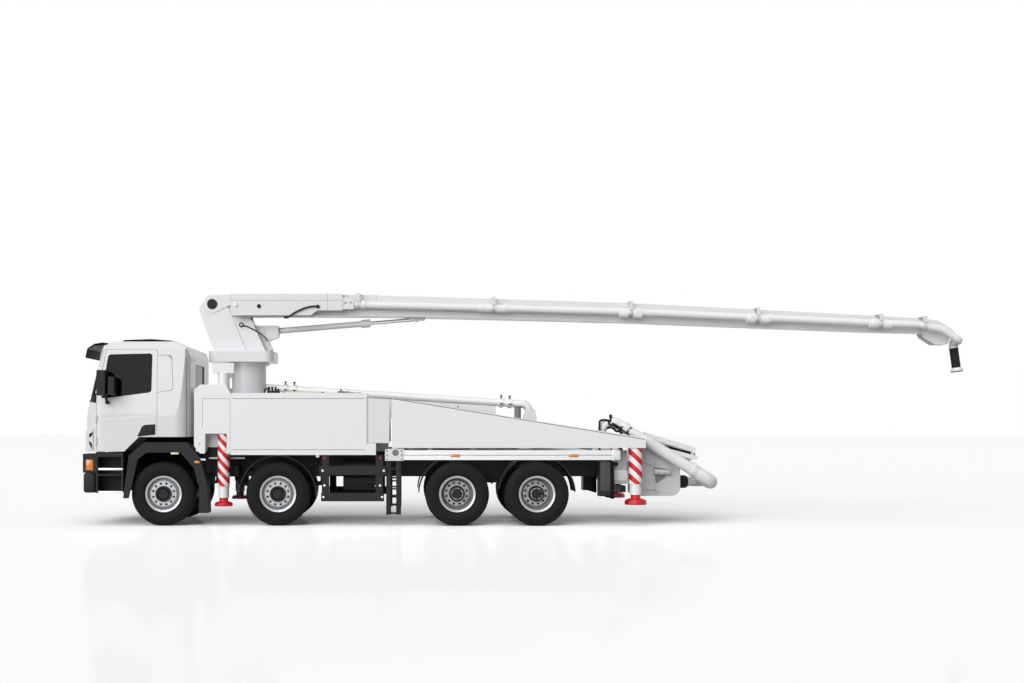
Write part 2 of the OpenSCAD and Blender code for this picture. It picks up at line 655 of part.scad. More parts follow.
// Aluminium rails along the rear
rail_x = [4078, 7603];
side_rail_z = [1118, 1282];
side_rail_y = [body_y - 45, body_y - 10];
module side_rails() color("#c9cbce") at_axle1() both_sides() {
    difference() {
        block([rail_x[0], side_rail_y[0], side_rail_z[0]], [rail_x[1], side_rail_y[1], side_rail_z[1]]);
        block([rail_x[0] - 1, side_rail_y[1] - 8, 1194], [rail_x[1] + 1, side_rail_y[1] + 1, 1204]);
    }
    for (x = [4600, 5670, 6950]) block([x, frame_w / 2, 1130], [x + 60, side_rail_y[0] + 1, 1180]);
}

// Side guards and ladder
guard_y = [body_y - 55, body_y - 15];
ladder_y = [body_y - 130, body_y - 70];
module side_guards() color("#3a3a3c") at_axle1() both_sides() {
    for (x = [2688, 3600]) {
        block([x, guard_y[0] - 60, 417], [x + 122, guard_y[1] - 10, PANEL[0][1]]);
        block([x + 20, frame_w / 2, 900], [x + 100, guard_y[0] - 59, 980]);
    }
    // rails: x range, z range
    for (r = [[2644, 3785, 865, 1017], [2677, 3742, 417, 561]])
        block([r[0], guard_y[0], r[2]], [r[1], guard_y[1], r[3]]);
    // ladder under the hinge bracket
    for (x = [3799, 3968]) block([x, ladder_y[0], 189], [x + 40, ladder_y[1], bracket_z[0]]);
    for (z = [200 : 150 : 950]) block([3838, ladder_y[0] + 10, z], [3969, ladder_y[1] - 10, z + 28]);
}

// Air tanks, battery box and the tall box behind the last wheel
air_tank_y = body_y - 550;
air_tank_r = 128;
box_y = [body_y - 350, body_y - 60];
module tanks() color("#232326") at_axle1() both_sides() {
    for (z = [724, 1000]) translate([3032, air_tank_y, z]) rotate([0, 90, 0]) cylinder(h = 541, r = air_tank_r);
    for (x = [3100, 3450]) block([x, frame_w / 2, 820], [x + 50, air_tank_y - 60, 900]);
    block([830, frame_w / 2, 820], [1230, body_y - 430, 1010]);
    block([7392, box_y[0], 500], [7625, box_y[1], 1090]);
    block([7420, frame_w / 2, 850], [7560, box_y[0] + 1, 930]);
}

// Hopper
hopper_x = [8180, 9110];
hopper_y = 700;
hopper_t = 12;
hopper_bottom = [480, 8858, 150];
hopper_rim = [1425, 1180];
outlet_z = 700;
outlet_r = 130;
hinge_x = 8150;
grate_z = 1550;
grate_pin_r = 16;
module hopper_profile(t) {
    polygon([[hopper_x[0] + t, 700], [hopper_x[0] + t, 1600], [hopper_x[1] - t, 1600], [hopper_x[1] - t, 1150],
             [hopper_bottom[1] - t, 960], [hopper_bottom[1] - t, 700]]);
    translate([hopper_x[0] + t, hopper_bottom[0] + t])
        square([hopper_bottom[1] - hopper_bottom[2] - hopper_x[0] - t, 701 - hopper_bottom[0] - t]);
    translate([hopper_x[0] + t, hopper_bottom[0] + hopper_bottom[2]])
        square([hopper_bottom[1] - hopper_x[0] - 2 * t, 701 - hopper_bottom[0] - hopper_bottom[2]]);
    translate([hopper_bottom[1] - hopper_bottom[2], hopper_bottom[0] + hopper_bottom[2]])
        circle(hopper_bottom[2] - t, $fn = 96);
}
module below_rim() polygon([[8000, 400], [8000, 1473], [hopper_x[0], hopper_rim[0]], [hopper_x[1], hopper_rim[1]],
                            [9300, 1130], [9300, 400]]);
module hopper() color("#d5d6d8") at_axle1() {
    difference() {
        union() {
            side_plate(-hopper_y, hopper_y) intersection() {
                hopper_profile(0);
                below_rim();
            }
            side_plate(-hopper_y - 40, hopper_y + 40)
                polygon([[8140, 1436], [9150, 1170], [9150, 1152], [8140, 1418]]);
            translate([hopper_bottom[1] - 60, 0, outlet_z]) rotate([0, 90, 0])
                cylinder(h = 120, r = outlet_r);
        }
        side_plate(-hopper_y + hopper_t, hopper_y - hopper_t) hopper_profile(hopper_t);
        translate([hopper_bottom[1] - 100, 0, outlet_z]) rotate([0, 90, 0])
            cylinder(h = 200, r = delivery_r);
    }
    both_sides() {
        // mounting arms to the frame's end
        block([frame_end_x - 149, frame_w / 2, 900], [hopper_x[0] + 1, frame_w / 2 + 30, 1070]);
        // hinge ears for the grate
        difference() {
            side_plate(560, 600) union() {
                translate([hinge_x, grate_z]) circle(34);
                polygon([[hinge_x - 34, grate_z], [hinge_x + 20, grate_z], [hinge_x + 20, 1415],
                         [hinge_x - 34, 1428]]);
            }
            translate([hinge_x, 500, grate_z]) rotate([-90, 0, 0]) cylinder(h = 200, r = grate_pin_r + pin_gap);
        }
        // rest pads for the grate
        block([9040, 690, 1180], [9090, 735, grate_bottom(9090) - seat_gap]);
    }
}

// Hopper grate, hinged at its front
grate_slope = 17;
grate_l = [40, 1000];
grate_half_w = 720;
grate_t = [-20, 30];
function grate_bottom(x) = grate_z - (x - hinge_x) * tan(grate_slope) + grate_t[0] / cos(grate_slope);
module hopper_grate() color("#cfd0d2") at_axle1() translate([hinge_x, 0, grate_z]) rotate([0, grate_slope, 0]) {
    difference() {
        block([grate_l[0], -grate_half_w, grate_t[0]], [grate_l[1], grate_half_w, grate_t[1]]);
        block([grate_l[0] + 40, -grate_half_w + 40, grate_t[0] - 1],
              [grate_l[1] - 40, grate_half_w - 40, grate_t[1] + 1]);
    }
    for (y = [-600 : 120 : 600]) block([grate_l[0] + 39, y - 8, -15], [grate_l[1] - 39, y + 8, 25]);
    for (x = [380, 680]) block([x, -grate_half_w + 39, -15], [x + 14, grate_half_w - 39, 5]);
    both_sides() {
        translate([0, 555, 0]) rotate([-90, 0, 0]) cylinder(h = 51, r = grate_pin_r);
        block([-20, 605, -20], [grate_l[0] + 1, 625, 22]);
    }
}

// Pumping cylinders with their water box, sloping down to the hopper
pump_slope = 9.5;
pump_y = 160;
material_cylinder_r = 120;
drive_cylinder_r = 72;
module pump_cylinders() color("#bfc1c4") at_axle1() {
    translate([hopper_x[0], 0, 1000]) rotate([0, pump_slope, 0]) both_sides() {
        translate([-1850, pump_y, 0]) rotate([0, 90, 0])
            cylinder(h = 1850 - seat_gap - material_cylinder_r * tan(pump_slope), r = material_cylinder_r);
        block([-2100, 0, -150], [-1849, 290, 150]);
        translate([-3700, pump_y, 0]) rotate([0, 90, 0]) cylinder(h = 1601, r = drive_cylinder_r);
        block([-3740, pump_y - 75, -80], [-3699, pump_y + 75, 80]);
    }
    // saddles on the subframe
    block([6140, -frame_w / 2, subframe_top], [6320, frame_w / 2, subframe_top + 40]);
    both_sides() {
        block([4520, pump_y - 60, subframe_top + 20], [4570, pump_y + 60, 1570]);
        block([4500, 0, subframe_top], [4590, frame_w / 2, subframe_top + 21]);
    }
}

// Concrete delivery line from the hopper's outlet, up along the left side to the deck and the pedestal
delivery_y = body_y - 390;
DELIVERY = [[hopper_bottom[1] + 60.3, 0, outlet_z], [9370, 0, outlet_z], [9370, -delivery_y, 730],
            [7600, -delivery_y, 1835], [7380, 100 - delivery_y, 1440], [riser[0], riser[1], 1440],
            [riser[0], riser[1], line_z[1] - 200]];
module delivery_line() color("#e4e5e7") at_axle1() {
    $fn = 32;
    pipe_path(DELIVERY, delivery_r, 170);
    collar(DELIVERY[2], DELIVERY[3], 0.17, delivery_r + 22, 110);
    collar(DELIVERY[2], DELIVERY[3], 0.84, delivery_r + 22, 110);
    collar(DELIVERY[0], DELIVERY[1], 0.11, delivery_r + 30, 80);
    rod3(DELIVERY[6] - [0, 0, 30], DELIVERY[6], delivery_r + 22);
    on_line() {
        pipe_path([[line_end, 0, line_z[1] - 201], [line_end, 0, line_z[1]], [line_start, 0, line_z[0]]],
                  pipe_r, 130);
        for (d = [660, 820, 4480, 4630])
            rod3([d - 35, 0, line_at(d - 35)], [d + 35, 0, line_at(d + 35)], pipe_r + 20);
    }
}

// Cab
cab_round = [330, 230];
cab_lean = atan2(190, 831);
// Where the cab's sides turn in to the roof, at the top of the doors
cant_z = cab_top - 140;
windscreen_foot = [-1290, 2069];
function cab_side(t) = [
    [-cab_front + t, cab_sill + t], [-cab_front + 12 + t, 1720], [windscreen_foot[0] + t, windscreen_foot[1]],
    [windscreen_foot[0] + 190 + t, windscreen_foot[1] + 831], [-1010 + t, 3060 - t],
    [-850, cab_top - t], [150, cab_top - t], [cab_rear - 60 - t, cab_top - 90 - t], [cab_rear - t, 2880],
    [cab_rear - t, cab_arch + t], [-400, cab_arch + t], [-650, cab_sill + t]];
// Plan of the cab, inset by t, with its front and rear corners rounded
module cab_plan(t, x0, x1, round0, round1) {
    translate([x0 + round0, -body_y + t]) square([x1 - x0 - round0 - round1, body_w - 2 * t]);
    translate([x0 + t, -body_y + round0]) square([round0 - t + 1, body_w - 2 * round0]);
    translate([x1 - round1 - 1, -body_y + round1]) square([round1 - t + 1, body_w - 2 * round1]);
    for (s = [-1, 1]) {
        translate([x0 + round0, s * (body_y - round0)]) circle(round0 - t, $fn = 96);
        translate([x1 - round1, s * (body_y - round1)]) circle(round1 - t, $fn = 96);
    }
}
module cab_front_view(t) polygon([
    [-body_y + t, cab_sill - 5], [-body_y + t, 1900], [-body_y + 70 + t, cant_z], [-body_y + 170 + t, cab_top + 1 - t],
    [body_y - 170 - t, cab_top + 1 - t], [body_y - 70 - t, cant_z], [body_y - t, 1900], [body_y - t, cab_sill - 5]]);
// The cab's volume without its floor and roof, inset by t
module cab_core(t) intersection() {
    plan_plate(cab_sill - 5, cab_top + 5) cab_plan(t, -cab_front, cab_rear, cab_round[0], cab_round[1]);
    front_plate(-cab_front - 100, cab_rear + 50) cab_front_view(t);
    // rounds the corners beside the leaning windscreen
    translate([windscreen_foot[0], 0, windscreen_foot[1]]) rotate([0, cab_lean, 0]) plan_plate(-1500, 1500)
        cab_plan(t, 0, 3200, 260, 100);
}
module cab_form(t) intersection() {
    side_plate(-body_y - 1, body_y + 1) polygon(cab_side(t));
    cab_core(t);
}
// Door and window outlines in the side view
DOOR = [[-door_front, cab_sill - 1], [-door_front, 2150], [-958, cant_z], [-door_rear, cant_z],
        [-door_rear, cab_arch - 1], [-400, cab_arch - 1], [-650, cab_sill - 1]];
DOOR_GAP = [[-door_front - run_gap, cab_sill - 40], [-door_front - run_gap, 2150], [-960 - run_gap, cant_z + run_gap],
            [-door_rear + run_gap, cant_z + run_gap], [-door_rear + run_gap, cab_arch - 40], [-650, cab_sill - 40]];
WINDOW = [[-1040, 2170], [-935, cant_z - 125], [-905, cant_z - 85], [-215, cant_z - 68], [-181, cant_z - 100],
          [-192, 2290], [-225, 2258], [-960, 2165]];
WINDSCREEN = [[-1400, 2130], [-1150, 2130], [-1010, cant_z - 150], [-1300, cant_z - 150]];
windscreen_y = body_y - 150;
REAR_WINDOW = [[-520, 2320], [520, 2760]];
HANDLE_POCKET = [[-428, 1512], [-345, 1688], [-290, 1712], [-120, 1722], [-120, 1544]];
// Door hinges: axis and the bottoms of the knuckles
door_hinge = [-1125, body_y];
HINGE_Z = [1400, 1780];
knuckle_h = 80;
knuckle_r = 12;
door_pin_r = 7;
module windows() {
    side_plate(-windscreen_y, windscreen_y) polygon(WINDSCREEN);
    front_plate(cab_rear - 150, cab_rear + 20) translate(REAR_WINDOW[0]) square(REAR_WINDOW[1] - REAR_WINDOW[0]);
}
module cab_shell() color("#ececee") at_axle1() {
    difference() {
        cab_form(0);
        difference() {
            cab_form(cab_wall);
            // the engine tunnel stays as a hump
            block([tunnel_x[0] - cab_wall, -tunnel_y - cab_wall, cab_sill],
                  [tunnel_x[1] + cab_wall, tunnel_y + cab_wall, tunnel_top + 50]);
        }
        block([tunnel_x[0], -tunnel_y, cab_sill - 10], [tunnel_x[1], tunnel_y, tunnel_top]);
        both_sides() difference() {
            side_plate(body_y - 300, body_y + 10) polygon(DOOR_GAP);
            cab_core(cab_wall + run_gap);
        }
        windows();
        for (z = [grille_z[0] : slat_pitch : grille_z[1]])
            block([-cab_front - 1, -grille_y, z], [-cab_front + grille_depth, grille_y, z + slat_pitch - slat_t]);
    }
    both_sides() {
        // door hinge ears and pins
        for (z = HINGE_Z) {
            for (e = [z - 20 - seat_gap, z + knuckle_h + seat_gap]) plan_plate(e, e + 20) {
                translate(door_hinge) circle(knuckle_r);
                translate([door_hinge[0] - 15, door_hinge[1] - 40]) square([15, 40]);
            }
            translate([door_hinge[0], door_hinge[1], z - 20]) cylinder(h = knuckle_h + 40, r = door_pin_r);
        }
        // tilt lugs with their pins
        side_plate(tilt_bracket_y[1] + run_gap, tilt_bracket_y[1] + run_gap + 30) union() {
            translate([tilt_x, tilt_z]) circle(tilt_boss_r);
            polygon([[tilt_x - tilt_boss_r, tilt_z], [tilt_x + tilt_boss_r, tilt_z], [tilt_x + 120, cab_sill + 20],
                     [tilt_x - 40, cab_sill + 20]]);
        }
        translate([tilt_x, tilt_bracket_y[0] - 10, tilt_z]) rotate([-90, 0, 0])
            cylinder(h = tilt_bracket_y[1] - tilt_bracket_y[0] + 20, r = tilt_pin_r);
    }
}
// Grille slots in the front wall, and the slats left between them
grille_z = [1330, 1690];
grille_y = body_y - 370;
grille_depth = 40;
slat_pitch = 82;
slat_t = 26;
tunnel_x = [-1040, -390];
tunnel_y = 420;
tunnel_top = 1490;

module door(s) color("#ececee") at_axle1() on_side(s) {
    difference() {
        intersection() {
            difference() {
                cab_form(0);
                cab_core(cab_wall);
            }
            side_plate(body_y - 290, body_y + 10) polygon(DOOR);
        }
        side_plate(body_y - 300, body_y + 20) polygon(WINDOW);
        // handle pocket
        side_plate(body_y - 25, body_y + 10) polygon(HANDLE_POCKET);
    }
    for (z = HINGE_Z) difference() {
        plan_plate(z, z + knuckle_h) {
            translate(door_hinge) circle(knuckle_r);
            translate([door_hinge[0] + 5, door_hinge[1] - 30]) square([16, 35]);
        }
        translate([door_hinge[0], door_hinge[1], z - 1]) cylinder(h = knuckle_h + 2, r = door_pin_r + pin_gap);
    }
}
module door_glass(s) color("#16181a") at_axle1() on_side(s) intersection() {
    difference() {
        cab_core(20);
        cab_core(20 + glass_t);
    }
    side_plate(body_y - 290, body_y + 10) polygon(WINDOW);
}
module mirror_head(a, b) hull() {
    block(a + [12, 0, 12], b - [12, 0, 12]);
    block(a + [0, 12, 30], b - [0, 12, 30]);
}
module door_mirror(s) color("#1c1c1e") at_axle1() on_side(s) {
    mirror_head([-1049, body_y + 40, 2191], [-900, body_y + 310, 2639]);
    mirror_head([-880, body_y + 50, 2200], [-760, body_y + 250, 2530]);
    // arm from the door's skin
    rod3([-930, body_y - 9.9, 2090], [-930, body_y + 60, 2090], 30);
    rod3([-930, body_y + 50, 2070], [-930, body_y + 130, 2240], 22);
    rod3([-930, body_y + 150, 2400], [-830, body_y + 150, 2400], 18);
}
module sun_visor() color("#151517") at_axle1() {
    side_plate(120 - body_y, body_y - 120) translate([0, cab_top]) polygon([
        [-1334, -280], [-1300, -120], [-1180, -40], [-1040, -18], [-960, -28], [-960, -47.7],
        [-1005, -67.4], [-1022, -68], [-1170, -70], [-1290, -135], [-1320, -280]]);
    // low roof hatch
    side_plate(-700, 700) polygon([[-820, cab_top + seat_gap], [-760, cab_top + 50], [-300, cab_top + 66],
                                   [60, cab_top + 40], [130, cab_top + seat_gap]]);
}
module cab_glass() color("#16181a") at_axle1() intersection() {
    difference() {
        cab_form(20);
        cab_form(20 + glass_t);
    }
    windows();
}
SEAT_X = [-420, 80];
module cab_interior() color("#2e2f33") at_axle1() {
    both_sides() {
        block([-300, 540, cab_arch + cab_wall + seat_gap], [0, 800, 1580]);
        hull() {
            block([SEAT_X[0], 420 + cab_wall + 20, 1575], [SEAT_X[1], 920, 1640]);
            block([SEAT_X[0] + 40, 540, 1575], [SEAT_X[1] - 20, 890, 1740]);
        }
        hull() {
            block([0, 510, 1700], [110, 900, 1760]);
            block([110, 540, 2330], [190, 860, 2400]);
        }
    }
    // dashboard on the front wall, with the steering column and wheel
    side_plate(250 - body_y, body_y - 250) polygon([[-1260.5, 1800], [-960, 1800], [-960, 1930], [-1040, 1990], [-1237.2, 1990]]);
    rod3([-1000, -680, 1900], [-820, -680, 2040], 25);
    rod3([-835, -680, 2030], [-805, -680, 2053], 225);
}

// Turret
column_w = 560;
plate_x = [650, 1800];
plate_y = 500;
web_w = 524;
lift_base = [1567, 3363];
lift_pin_r = 30;
lift_bracket_y = [70, 112];
module turret() color("#dcdddf") at_axle1() {
    plan_plate(plate_z, plate_z + plate_t) translate([plate_x[0], -plate_y])
        rounded([plate_x[1] - plate_x[0], 2 * plate_y], 160);
    difference() {
        union() {
            side_plate(-column_w / 2, column_w / 2) union() {
                polygon([[456, 3766], [989, 3766], [1309, plate_z + plate_t - 1], [726, plate_z + plate_t - 1]]);
                translate([boom_pivot_x, boom_pivot_z]) circle(160);
                polygon([[456, 3765], [boom_pivot_x - 100, boom_pivot_z + 100],
                         [boom_pivot_x + 100, boom_pivot_z + 100], [989, 3765]]);
            }
            side_plate(-web_w / 2, web_w / 2) polygon([
                [900, 3760], [989, 3766], [1331, 3680], [1640, plate_z + plate_t - 1],
                [1200, plate_z + plate_t - 1]]);
            side_plate(-lift_bracket_y[1], lift_bracket_y[1]) polygon([
                [1367, 3473], [1849, 3473], [1849, 3270], [1680, 3200], [1740, 3045], [1640, plate_z + plate_t - 1],
                [1400, 3100]]);
        }
        // fork for the boom's foot
        block([400, -root_w / 2 - run_gap, 3560], [1500, root_w / 2 + run_gap, 4200]);
        translate([boom_pivot_x, -400, boom_pivot_z]) rotate([-90, 0, 0])
            cylinder(h = 800, r = boom_pin_r + pin_gap);
        // fork for the lift cylinder's foot
        block([1490, -lift_bracket_y[0], 3285], [2000, lift_bracket_y[0], 3800]);
    }
    translate([lift_base[0], -lift_bracket_y[1] - 15, lift_base[1]]) rotate([-90, 0, 0])
        cylinder(h = 2 * lift_bracket_y[1] + 30, r = lift_pin_r);
}

// Lift cylinder
lift_eye = [4300, 3590];
lift_eye_r = 55;
lift_dir = unit(lift_eye - lift_base);
barrel_l = 1918;
// Where the rod starts inside the barrel
rod_foot = 330;
barrel_eye_r = 62;
module lift_barrel() color("#c8cacd") at_axle1() difference() {
    union() {
        bar(lift_base, lift_base + lift_dir * barrel_l, 0, barrel_r);
        bar(lift_base + lift_dir * (barrel_l - 164), lift_base + lift_dir * barrel_l, 0, barrel_r + 20);
        translate([lift_base[0], -lift_bracket_y[0] + run_gap, lift_base[1]]) rotate([-90, 0, 0])
            cylinder(h = 2 * (lift_bracket_y[0] - run_gap), r = barrel_eye_r);
    }
    bar(lift_base + lift_dir * 120, lift_base + lift_dir * (barrel_l + 10), 0, rod_r + pin_gap);
    translate([lift_base[0], -400, lift_base[1]]) rotate([-90, 0, 0]) cylinder(h = 800, r = lift_pin_r + pin_gap);
}
module lift_rod() color("#d8dadd") at_axle1() {
    bar(lift_base + lift_dir * rod_foot, lift_eye, 0, rod_r);
    translate([lift_eye[0], -45, lift_eye[1]]) rotate([-90, 0, 0]) cylinder(h = 90, r = lift_eye_r);
}

// Boom arm: root box and long tapering beam
// Stations of the beam: place, top height, depth
BEAM = [[3590, 4000, 368], [5660, 3940, 352], [8180, 3862, 340], [10360, 3752, 318], [12440, 3644, 290],
        [13290, 3598, 262]];
ROOT = [[700, 4010], [3600, 4010], [3600, 3632], [1000, 3632], [700, 3690]];
beam_w0 = 410;
tip_x = 13400;
// Value of a column of BEAM between its stations
function along_beam(x, k) = lookup(x, [for (b = BEAM) [b[0], b[k]]]);
function beam_half_w(x) = x < BEAM[0][0] ? root_w / 2
    : (beam_w0 - (beam_w0 - tip_w) * (x - BEAM[0][0]) / (tip_x - BEAM[0][0])) / 2;
module beam_plan() polygon([
    [500, -root_w / 2], [BEAM[0][0], -root_w / 2], [BEAM[0][0] + 1, -beam_w0 / 2], [tip_x, -tip_w / 2],
    [tip_x, tip_w / 2], [BEAM[0][0] + 1, beam_w0 / 2], [BEAM[0][0], root_w / 2], [500, root_w / 2]]);
pipe_y = -310;
pipe_start_x = 1120;
STRAP_X = [3275, 5655, 8065, 10300, 12455, 13230];
cover_x = [1043, 3002];
cover_t = 12;
boom_cover_y = -400;
tip_slot_y = 112;
module boom_arm() color("#e2e3e5") at_axle1() {
    difference() {
        union() {
            intersection() {
                side_plate(-root_w / 2, root_w / 2) union() {
                    polygon(ROOT);
                    polygon(concat([for (b = BEAM) [b[0], b[1]]],
                                   [for (i = [len(BEAM) - 1 : -1 : 0]) [BEAM[i][0], BEAM[i][1] - BEAM[i][2]]]));
                }
                plan_plate(3000, 4100) beam_plan();
            }
            side_plate(-root_w / 2, root_w / 2) translate([boom_pivot_x, boom_pivot_z]) circle(172);
            // fork at the tip, with the lower bracket of the outlet
            side_plate(-tip_w / 2, tip_w / 2) polygon([
                [13250, 3590], [13545, 3563], [13790, 3420], [13850, 3350], [13835, 3290], [13760, 3270],
                [13724, 3135], [13492, 3135], [13296, 3259], [13250, 3350]]);
        }
        translate([boom_pivot_x, -400, boom_pivot_z]) rotate([-90, 0, 0]) cylinder(h = 800, r = boom_pin_r);
        block([13440, -tip_slot_y, 3000], [14000, tip_slot_y, 3700]);
        block([13250, -tip_slot_y, 3000], [14000, tip_slot_y, 3320]);
        // pocket over the lift cylinder's eye
        block([lift_eye[0] - 230, -50, 3500], [lift_eye[0] + 100, 50, lift_eye[1] + lift_eye_r + 8]);
    }
    // pivot pin
    translate([boom_pivot_x, -column_w / 2 - 20, boom_pivot_z]) rotate([-90, 0, 0])
        cylinder(h = column_w + 40, r = boom_pin_r);
    // tip pin
    translate([13777, -tip_w / 2 - 15, 3352]) rotate([-90, 0, 0]) cylinder(h = tip_w + 30, r = 38);
    // ears for the lift cylinder's eye, open below
    both_sides() side_plate(50, 85) union() {
        polygon([[4149, 3641], [4479, 3641], [4440, 3575], [4180, 3575]]);
        translate(lift_eye) circle(lift_eye_r);
    }
    // cover plate beside the root, and the flange that carries it
    side_plate(boom_cover_y, boom_cover_y + cover_t) polygon([
        [cover_x[0], 4010], [cover_x[1], 4010], [cover_x[1], 3720], [2560, 3720], [2440, 3632], [cover_x[0] + 60, 3632],
        [cover_x[0], 3700]]);
    block([cover_x[0], boom_cover_y + 1, 3998], [cover_x[1], -root_w / 2 + 1, 4010]);
    // clamp plate with two holes
    difference() {
        block([3009, boom_cover_y, 3740], [3199, boom_cover_y + cover_t, 3950]);
        for (x = [3060, 3148]) translate([x, boom_cover_y - 1, 3845]) rotate([-90, 0, 0])
            cylinder(h = 20, r = 24);
    }
    for (z = [3741, 3920]) block([3090, boom_cover_y + 1, z], [3120, -root_w / 2 + 1, z + 14]);
    // hooks that hold the pipe
    for (x = STRAP_X) {
        top = x < BEAM[0][0] ? ROOT[0][1] : along_beam(x, 1);
        mid = path_z(x);
        side = beam_half_w(x);
        block([x - 30, -side - 1, top - 1], [x + 30, side, top + 18]);
        block([x - 30, pipe_y - pipe_r - 18, top - 1], [x + 30, -side, top + 18]);
        block([x - 30, pipe_y - pipe_r - seat_gap - 18, mid - 20], [x + 30, pipe_y - pipe_r - seat_gap, top + 18]);
        block([x - 30, pipe_y + pipe_r + seat_gap, mid - 30], [x + 30, -side + 1, mid + 30]);
    }
}
// Concrete pipe along the boom: it bends a little at some of its couplings
PIPE = concat([[pipe_start_x, 3822], [3360, 3822]],
              [for (x = [5440, 8190, 10510, 12360, 13150]) [x, along_beam(x, 1) - along_beam(x, 2) / 2]],
              [[13560, 3385]]);
function path_z(x) = lookup(x, PIPE);
module boom_pipe() color("#ededef") at_axle1() {
    $fn = 32;
    pipe_path(concat([[pipe_start_x, -root_w / 2 - seat_gap, PIPE[0][1]]], [for (p = PIPE) [p[0], pipe_y, p[1]]],
                     [[end_pivot_x, pipe_y, end_pivot_z], [end_pivot_x, -outlet_y, end_pivot_z]]), pipe_r, 86);
    // couplings on the straight stretches
    for (x = [5860, 10200]) collar([x - 50, pipe_y, path_z(x - 50)], [x + 50, pipe_y, path_z(x + 50)], 0.5,
                                   pipe_r + coupling_t, coupling_l);
}
outlet_y = 88;
module end_hose() color("#303032") at_axle1()
    translate([end_pivot_x, 0, end_pivot_z]) rotate([0, -end_lean, 0]) {
        pipe_path([[0, -outlet_y + seat_gap, 0], [0, 0, 0], [0, 0, -end_hose_l + 80]], pipe_r, 84);
        difference() {
            union() {
                translate([0, 0, -end_hose_l + 30]) cylinder(h = end_hose_l - 130, r = 78);
                translate([0, 0, -end_hose_l]) cylinder(h = 60, r = end_flange_r);
            }
            translate([0, 0, -end_hose_l - 1]) cylinder(h = 80, r = 60);
        }
    }

chassis_frame();
engine_block();
front_bumper();
mudguards();
axles();
deck();
front_support();
support_wings();
side_panels();
side_rails();
side_guards();
tanks();
hopper();
pump_cylinders();
delivery_line();
hopper_grate();
cab_shell();
sun_visor();
cab_glass();
cab_interior();
turret();
boom_arm();
boom_pipe();
end_hose();
lift_barrel();
lift_rod();
for (s = SIDES) {
    door(s[1]);
    door_glass(s[1]);
    door_mirror(s[1]);
    front_beam(s[1]);
    front_leg(s[1]);
    rear_arm(s[1]);
    rear_leg(s[1]);
}
for (w = WHEELS) {
    tyre(w);
    rim(w);
    if (!w[3]) knuckle(w);
}
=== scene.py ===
import json
import math

import bmesh
import bpy
from mathutils import Matrix, Vector


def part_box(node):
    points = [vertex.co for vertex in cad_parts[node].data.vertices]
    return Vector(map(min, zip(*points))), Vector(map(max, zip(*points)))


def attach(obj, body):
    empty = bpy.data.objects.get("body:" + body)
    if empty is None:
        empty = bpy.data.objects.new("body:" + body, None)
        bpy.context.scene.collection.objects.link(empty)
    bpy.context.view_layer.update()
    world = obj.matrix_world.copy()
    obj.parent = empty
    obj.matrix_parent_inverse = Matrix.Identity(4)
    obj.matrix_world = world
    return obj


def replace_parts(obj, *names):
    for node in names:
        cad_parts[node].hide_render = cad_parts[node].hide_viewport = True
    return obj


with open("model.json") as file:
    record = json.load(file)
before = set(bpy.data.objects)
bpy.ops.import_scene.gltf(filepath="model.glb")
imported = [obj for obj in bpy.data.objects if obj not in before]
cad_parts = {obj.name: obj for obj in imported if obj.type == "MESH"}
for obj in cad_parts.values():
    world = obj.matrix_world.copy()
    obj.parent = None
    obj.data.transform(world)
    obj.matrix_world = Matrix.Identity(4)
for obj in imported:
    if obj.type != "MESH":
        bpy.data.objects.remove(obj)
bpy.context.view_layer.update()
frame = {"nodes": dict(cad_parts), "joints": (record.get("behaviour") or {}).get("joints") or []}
nodes = frame["nodes"]
joints = {joint["name"]: joint for joint in frame["joints"]}
sides = {"left": -1, "right": 1}
print("frame loaded,", len(nodes), "nodes")

# Places are in millimetres: x behind the first axle, y from the middle, z from the ground
axleOneX = joints["wheel_spin_1_left"]["pos_m"][0]


def at(x, y, z):
    return Vector((axleOneX + x / 1000, y / 1000, z / 1000))


def jointPlace(name):
    pos = joints[name]["pos_m"]
    return Vector(((pos[0] - axleOneX) * 1000, pos[1] * 1000, pos[2] * 1000))


# Colours and nodes of the materials

def srgb(code):  # a hex colour turned to linear
    values = [int(code[i:i + 2], 16) / 255 for i in (0, 2, 4)]
    return [v / 12.92 if v <= 0.04045 else ((v + 0.055) / 1.055) ** 2.4 for v in values] + [1.0]


def addNode(tree, kind, settings=None, inputs=None, links=None):
    node = tree.nodes.new(kind)
    for key, value in (settings or {}).items():
        setattr(node, key, value)
    for key, value in (inputs or {}).items():
        node.inputs[key].default_value = value
    for key, source in (links or {}).items():
        tree.links.new(source, node.inputs[key])
    return node


def newMaterial(name, code, **sockets):
    material = bpy.data.materials.new(name)
    material.use_nodes = True
    shader = material.node_tree.nodes["Principled BSDF"]
    shader.inputs["Base Color"].default_value = srgb(code)
    material.diffuse_color = srgb(code)
    for key, value in sockets.items():
        shader.inputs[key.replace("_", " ")].default_value = value
    return material, material.node_tree, shader


def grain(tree, shader, size, depth, strength=0.3, stretch=(1, 1, 1)):  # size and depth in millimetres
    coords = addNode(tree, "ShaderNodeTexCoord")
    scaled = addNode(tree, "ShaderNodeMapping", inputs={"Scale": stretch}, links={"Vector": coords.outputs["Object"]})
    noise = addNode(tree, "ShaderNodeTexNoise", inputs={"Scale": 1000 / size, "Detail": 3},
                    links={"Vector": scaled.outputs[0]})
    bump = addNode(tree, "ShaderNodeBump", inputs={"Strength": strength, "Distance": depth / 1000},
                   links={"Height": noise.outputs["Fac"]})
    tree.links.new(bump.outputs[0], shader.inputs["Normal"])
    return noise


# Two-pack acrylic enamel, sprayed: smooth, with a soft gloss
def sprayedEnamel(name, code, roughness=0.32):
    material, tree, shader = newMaterial(name, code, Roughness=roughness, Coat_Weight=0.15, Coat_Roughness=0.12)
    grain(tree, shader, size=9, depth=0.04, strength=0.12)  # orange peel, drawn coarse enough to show
    return material


